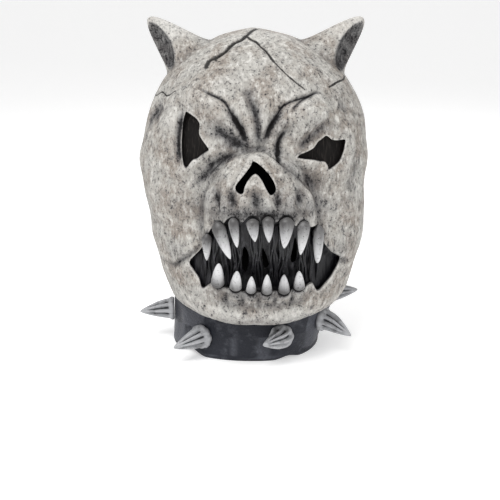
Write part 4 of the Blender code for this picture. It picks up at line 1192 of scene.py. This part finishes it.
band_columns = 420
section_out, section_up = collar_section(72)
band_turns = np.linspace(-math.pi, math.pi, band_columns + 1)
band_angle, band_out = np.meshgrid(band_turns - 0.45 * np.sin(band_turns), section_out)
_, band_up = np.meshgrid(band_turns, section_up)
hem = hem_height(band_angle)
height = hem + (COLLAR_HEIGHT - hem) * band_up
band, _ = neck_points(band_angle, height, COLLAR_GAP + COLLAR_WALL * band_out)
outer_face = smooth_step((band_out - 0.6) / 0.3)
flat = band.reshape(-1, 3)
wrinkles = np.array([noise.noise(Vector((x / 0.022, y / 0.022, z / 0.0075))) for x, y, z in flat])
middle_share = np.sin(math.pi * np.clip(band_up, 0, 1)) ** 0.5
wrinkles = wrinkles.reshape(band.shape[:2]) * COLLAR_WRINKLE * outer_face * middle_share
radial = band - HEAD_AXIS * (1, 1, 0)
radial[..., 2] = 0
radial /= np.linalg.norm(radial, axis=-1, keepdims=True)
band = band + radial * wrinkles[..., None]
collar = to_object(rolled_mesh(band), "collar_shown")
check = bmesh.new()
check.from_mesh(collar.data)
if check.calc_volume(signed=True) < 0:
    bmesh.ops.reverse_faces(check, faces=check.faces)
    check.to_mesh(collar.data)
check.free()
set_attribute(collar.data, "crease", cavity(collar.data, 8, 0.0004))
collar.data.materials.append(rubber.material)
print("collar spans", collar.dimensions)

# %% [markdown]
# ## The spikes
# Each spike is a cone with deep flutes that fade towards its point and a thick scalloped foot. The
# feet stand on the strap, and the points droop their own ways, as soft rubber does.

# %% Spikes
SPIKE_LENGTH, SPIKE_DIAMETER, SPIKE_FLUTES = 0.036, 0.025, 8
FLUTE_LEAST, FLUTE_MORE = 0.05, 0.40
FOOT_SHARES = (0.0, 0.001, 0.02, 0.05, 0.085, 0.12, 0.15, 0.18)
SPIKE_COLUMNS = ("name", "angle", "up", "turn", "droop")
SPIKES = (
    ("spike_1", -36, 0.44, -22, 8), ("spike_2", 18, 0.52, -60, -2), ("spike_3", 58, 0.66, 4, 26),
    ("spike_4", 108, 0.74, -8, -4), ("spike_5", 152, 0.66, 0, 4), ("spike_6", 190, 0.62, 0, 4),
    ("spike_7", 226, 0.62, 0, 4), ("spike_8", 274, 0.64, 0, 6),
)
spikes = []
for name, angle, up, turn, droop in SPIKES:
    angle, z = np.array(math.radians(angle)), np.array(up * COLLAR_HEIGHT)
    seat, out = neck_points(angle, z, COLLAR_GAP + COLLAR_WALL + 0.0003)
    square = Vector((*out, 0))
    leaning = Matrix.Rotation(math.radians(turn), 3, "Z") @ square
    sideways = leaning.cross(Vector((0, 0, 1))).normalized()
    leaning = Matrix.Rotation(math.radians(-droop), 3, sideways) @ leaning
    shares = np.array([*FOOT_SHARES, *np.linspace(0.22, 0.94, 22), 0.97, 0.99, 1.0])
    foot = 1 - 0.10 * smooth_step((shares - 0.10) / 0.05)
    body = foot * (1 - smooth_step(shares * 0.5) ** 0.9) * (1 - shares**2.4) ** 0.55
    profile = np.where(shares < 0.12, 1 - (1 - np.minimum(1, shares / 0.03)) ** 2 * 0.12, body)
    profile[0] = profile[-1] = 0
    fluted = smooth_step((shares - 0.10) / 0.12) * (1 - smooth_step((shares - 0.62) / 0.30))
    flute_depth = FLUTE_LEAST + FLUTE_MORE * fluted
    spine = [seat]
    for before, share in zip(shares[:-1], shares[1:]):
        heading = square.lerp(leaning, min(1, 2.2 * share)).normalized()
        spine.append(spine[-1] + np.array(heading) * (share - before) * SPIKE_LENGTH)
    form = swept_form(spine, profile * SPIKE_DIAMETER / 2, 96, 1.0, SPIKE_FLUTES, flute_depth)
    spike = to_object(form, name + "_shown")
    set_attribute(spike.data, "flute", np.clip(cavity(spike.data, 10, 0.0006), 0, 1))
    spike.data.materials.append(horn.material)
    spikes.append((spike, name))
print("spikes:", len(spikes), "triangles in one:", triangles_of(spikes[0][0]))

# %% [markdown]
# ## Handing the pieces over
# Each piece rides on the part's one body, and the solids that it stands for are hidden.

# %% Riding on the frame
def hand_over(piece, slot, *nodes):
    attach(piece, "root")
    if nodes:
        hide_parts(*nodes)


hand_over(skull, "bone_latex", "skull_skin")
hand_over(flesh, "torn_flesh", "mouth_flesh")
hand_over(strands, "torn_flesh")
for gauze, name in zip(gauzes, ("left_eye_gauze", "right_eye_gauze")):
    hand_over(gauze, "eye_gauze", name)
for tooth, name in teeth:
    hand_over(tooth, "tooth_enamel", name)
hand_over(collar, "collar_latex", "collar")
for spike, name in spikes:
    hand_over(spike, "spike_latex", name)

# %% [markdown]
# ## The photographer's table
# A white sweep, a large soft light from above left, a weak one from the right and one from behind give
# the photograph's pale ground and its soft, dark creases. The camera looks down a little, as the
# photograph does.

# %% Floor, lights and camera
SWEEP_HALF, SWEEP_START, SWEEP_RADIUS = 6.0, 1.6, 2.5
floor_mesh = bmesh.new()
bmesh.ops.create_grid(floor_mesh, x_segments=1, y_segments=60, size=1)
for vert in floor_mesh.verts:
    along = vert.co.y * SWEEP_HALF
    bend = max(0, along - SWEEP_START) / SWEEP_RADIUS
    turn = min(bend, math.pi / 2)
    y = min(along, SWEEP_START) + SWEEP_RADIUS * math.sin(turn)
    vert.co = (vert.co.x * SWEEP_HALF, y, SWEEP_RADIUS * (1 - math.cos(turn) + bend - turn))
floor = to_object(floor_mesh, "floor")
sweep = Paint("white_sweep", 0.9, 0.0)
sweep.shader.inputs["Base Color"].default_value = (0.84, 0.84, 0.84, 1)
sweep.shader.inputs["Emission Color"].default_value = (1, 1, 1, 1)
sweep.shader.inputs["Emission Strength"].default_value = 0.42
floor.data.materials.append(sweep.material)

world = bpy.data.worlds.new("studio")
bpy.context.scene.world = world
world.use_nodes = True
world.node_tree.nodes["Background"].inputs[0].default_value = (1, 1, 1, 1)
world.node_tree.nodes["Background"].inputs[1].default_value = 0.45

LIGHT_COLUMNS = ("name", "place", "size", "watts")
for name, place, size, watts in (
    ("soft_top", (-0.35, -0.65, 1.25), 0.8, 13.0),
    ("fill_right", (1.1, -0.7, 0.7), 0.9, 3.0),
    ("back_rim", (0.2, 1.0, 1.1), 0.8, 5.0),
):
    lamp = bpy.data.lights.new(name, "AREA")
    lamp.size, lamp.energy = size, watts
    light = bpy.data.objects.new(name, lamp)
    light.location = place
    light.rotation_euler = (Vector((0, 0, 0.16)) - Vector(place)).to_track_quat("-Z", "Y").to_euler()
    bpy.context.scene.collection.objects.link(light)

lens = bpy.data.cameras.new("camera")
lens.lens, lens.sensor_width = 77.76, 36
camera = bpy.data.objects.new("camera", lens)
camera.location = (-0.0027, -1.0685, 0.403)
camera.rotation_euler = (math.radians(74), 0, 0)
bpy.context.scene.collection.objects.link(camera)
bpy.context.scene.camera = camera
bpy.context.scene.view_settings.view_transform = "Standard"
bpy.context.scene.view_settings.look = "None"
print("camera at", camera.location)
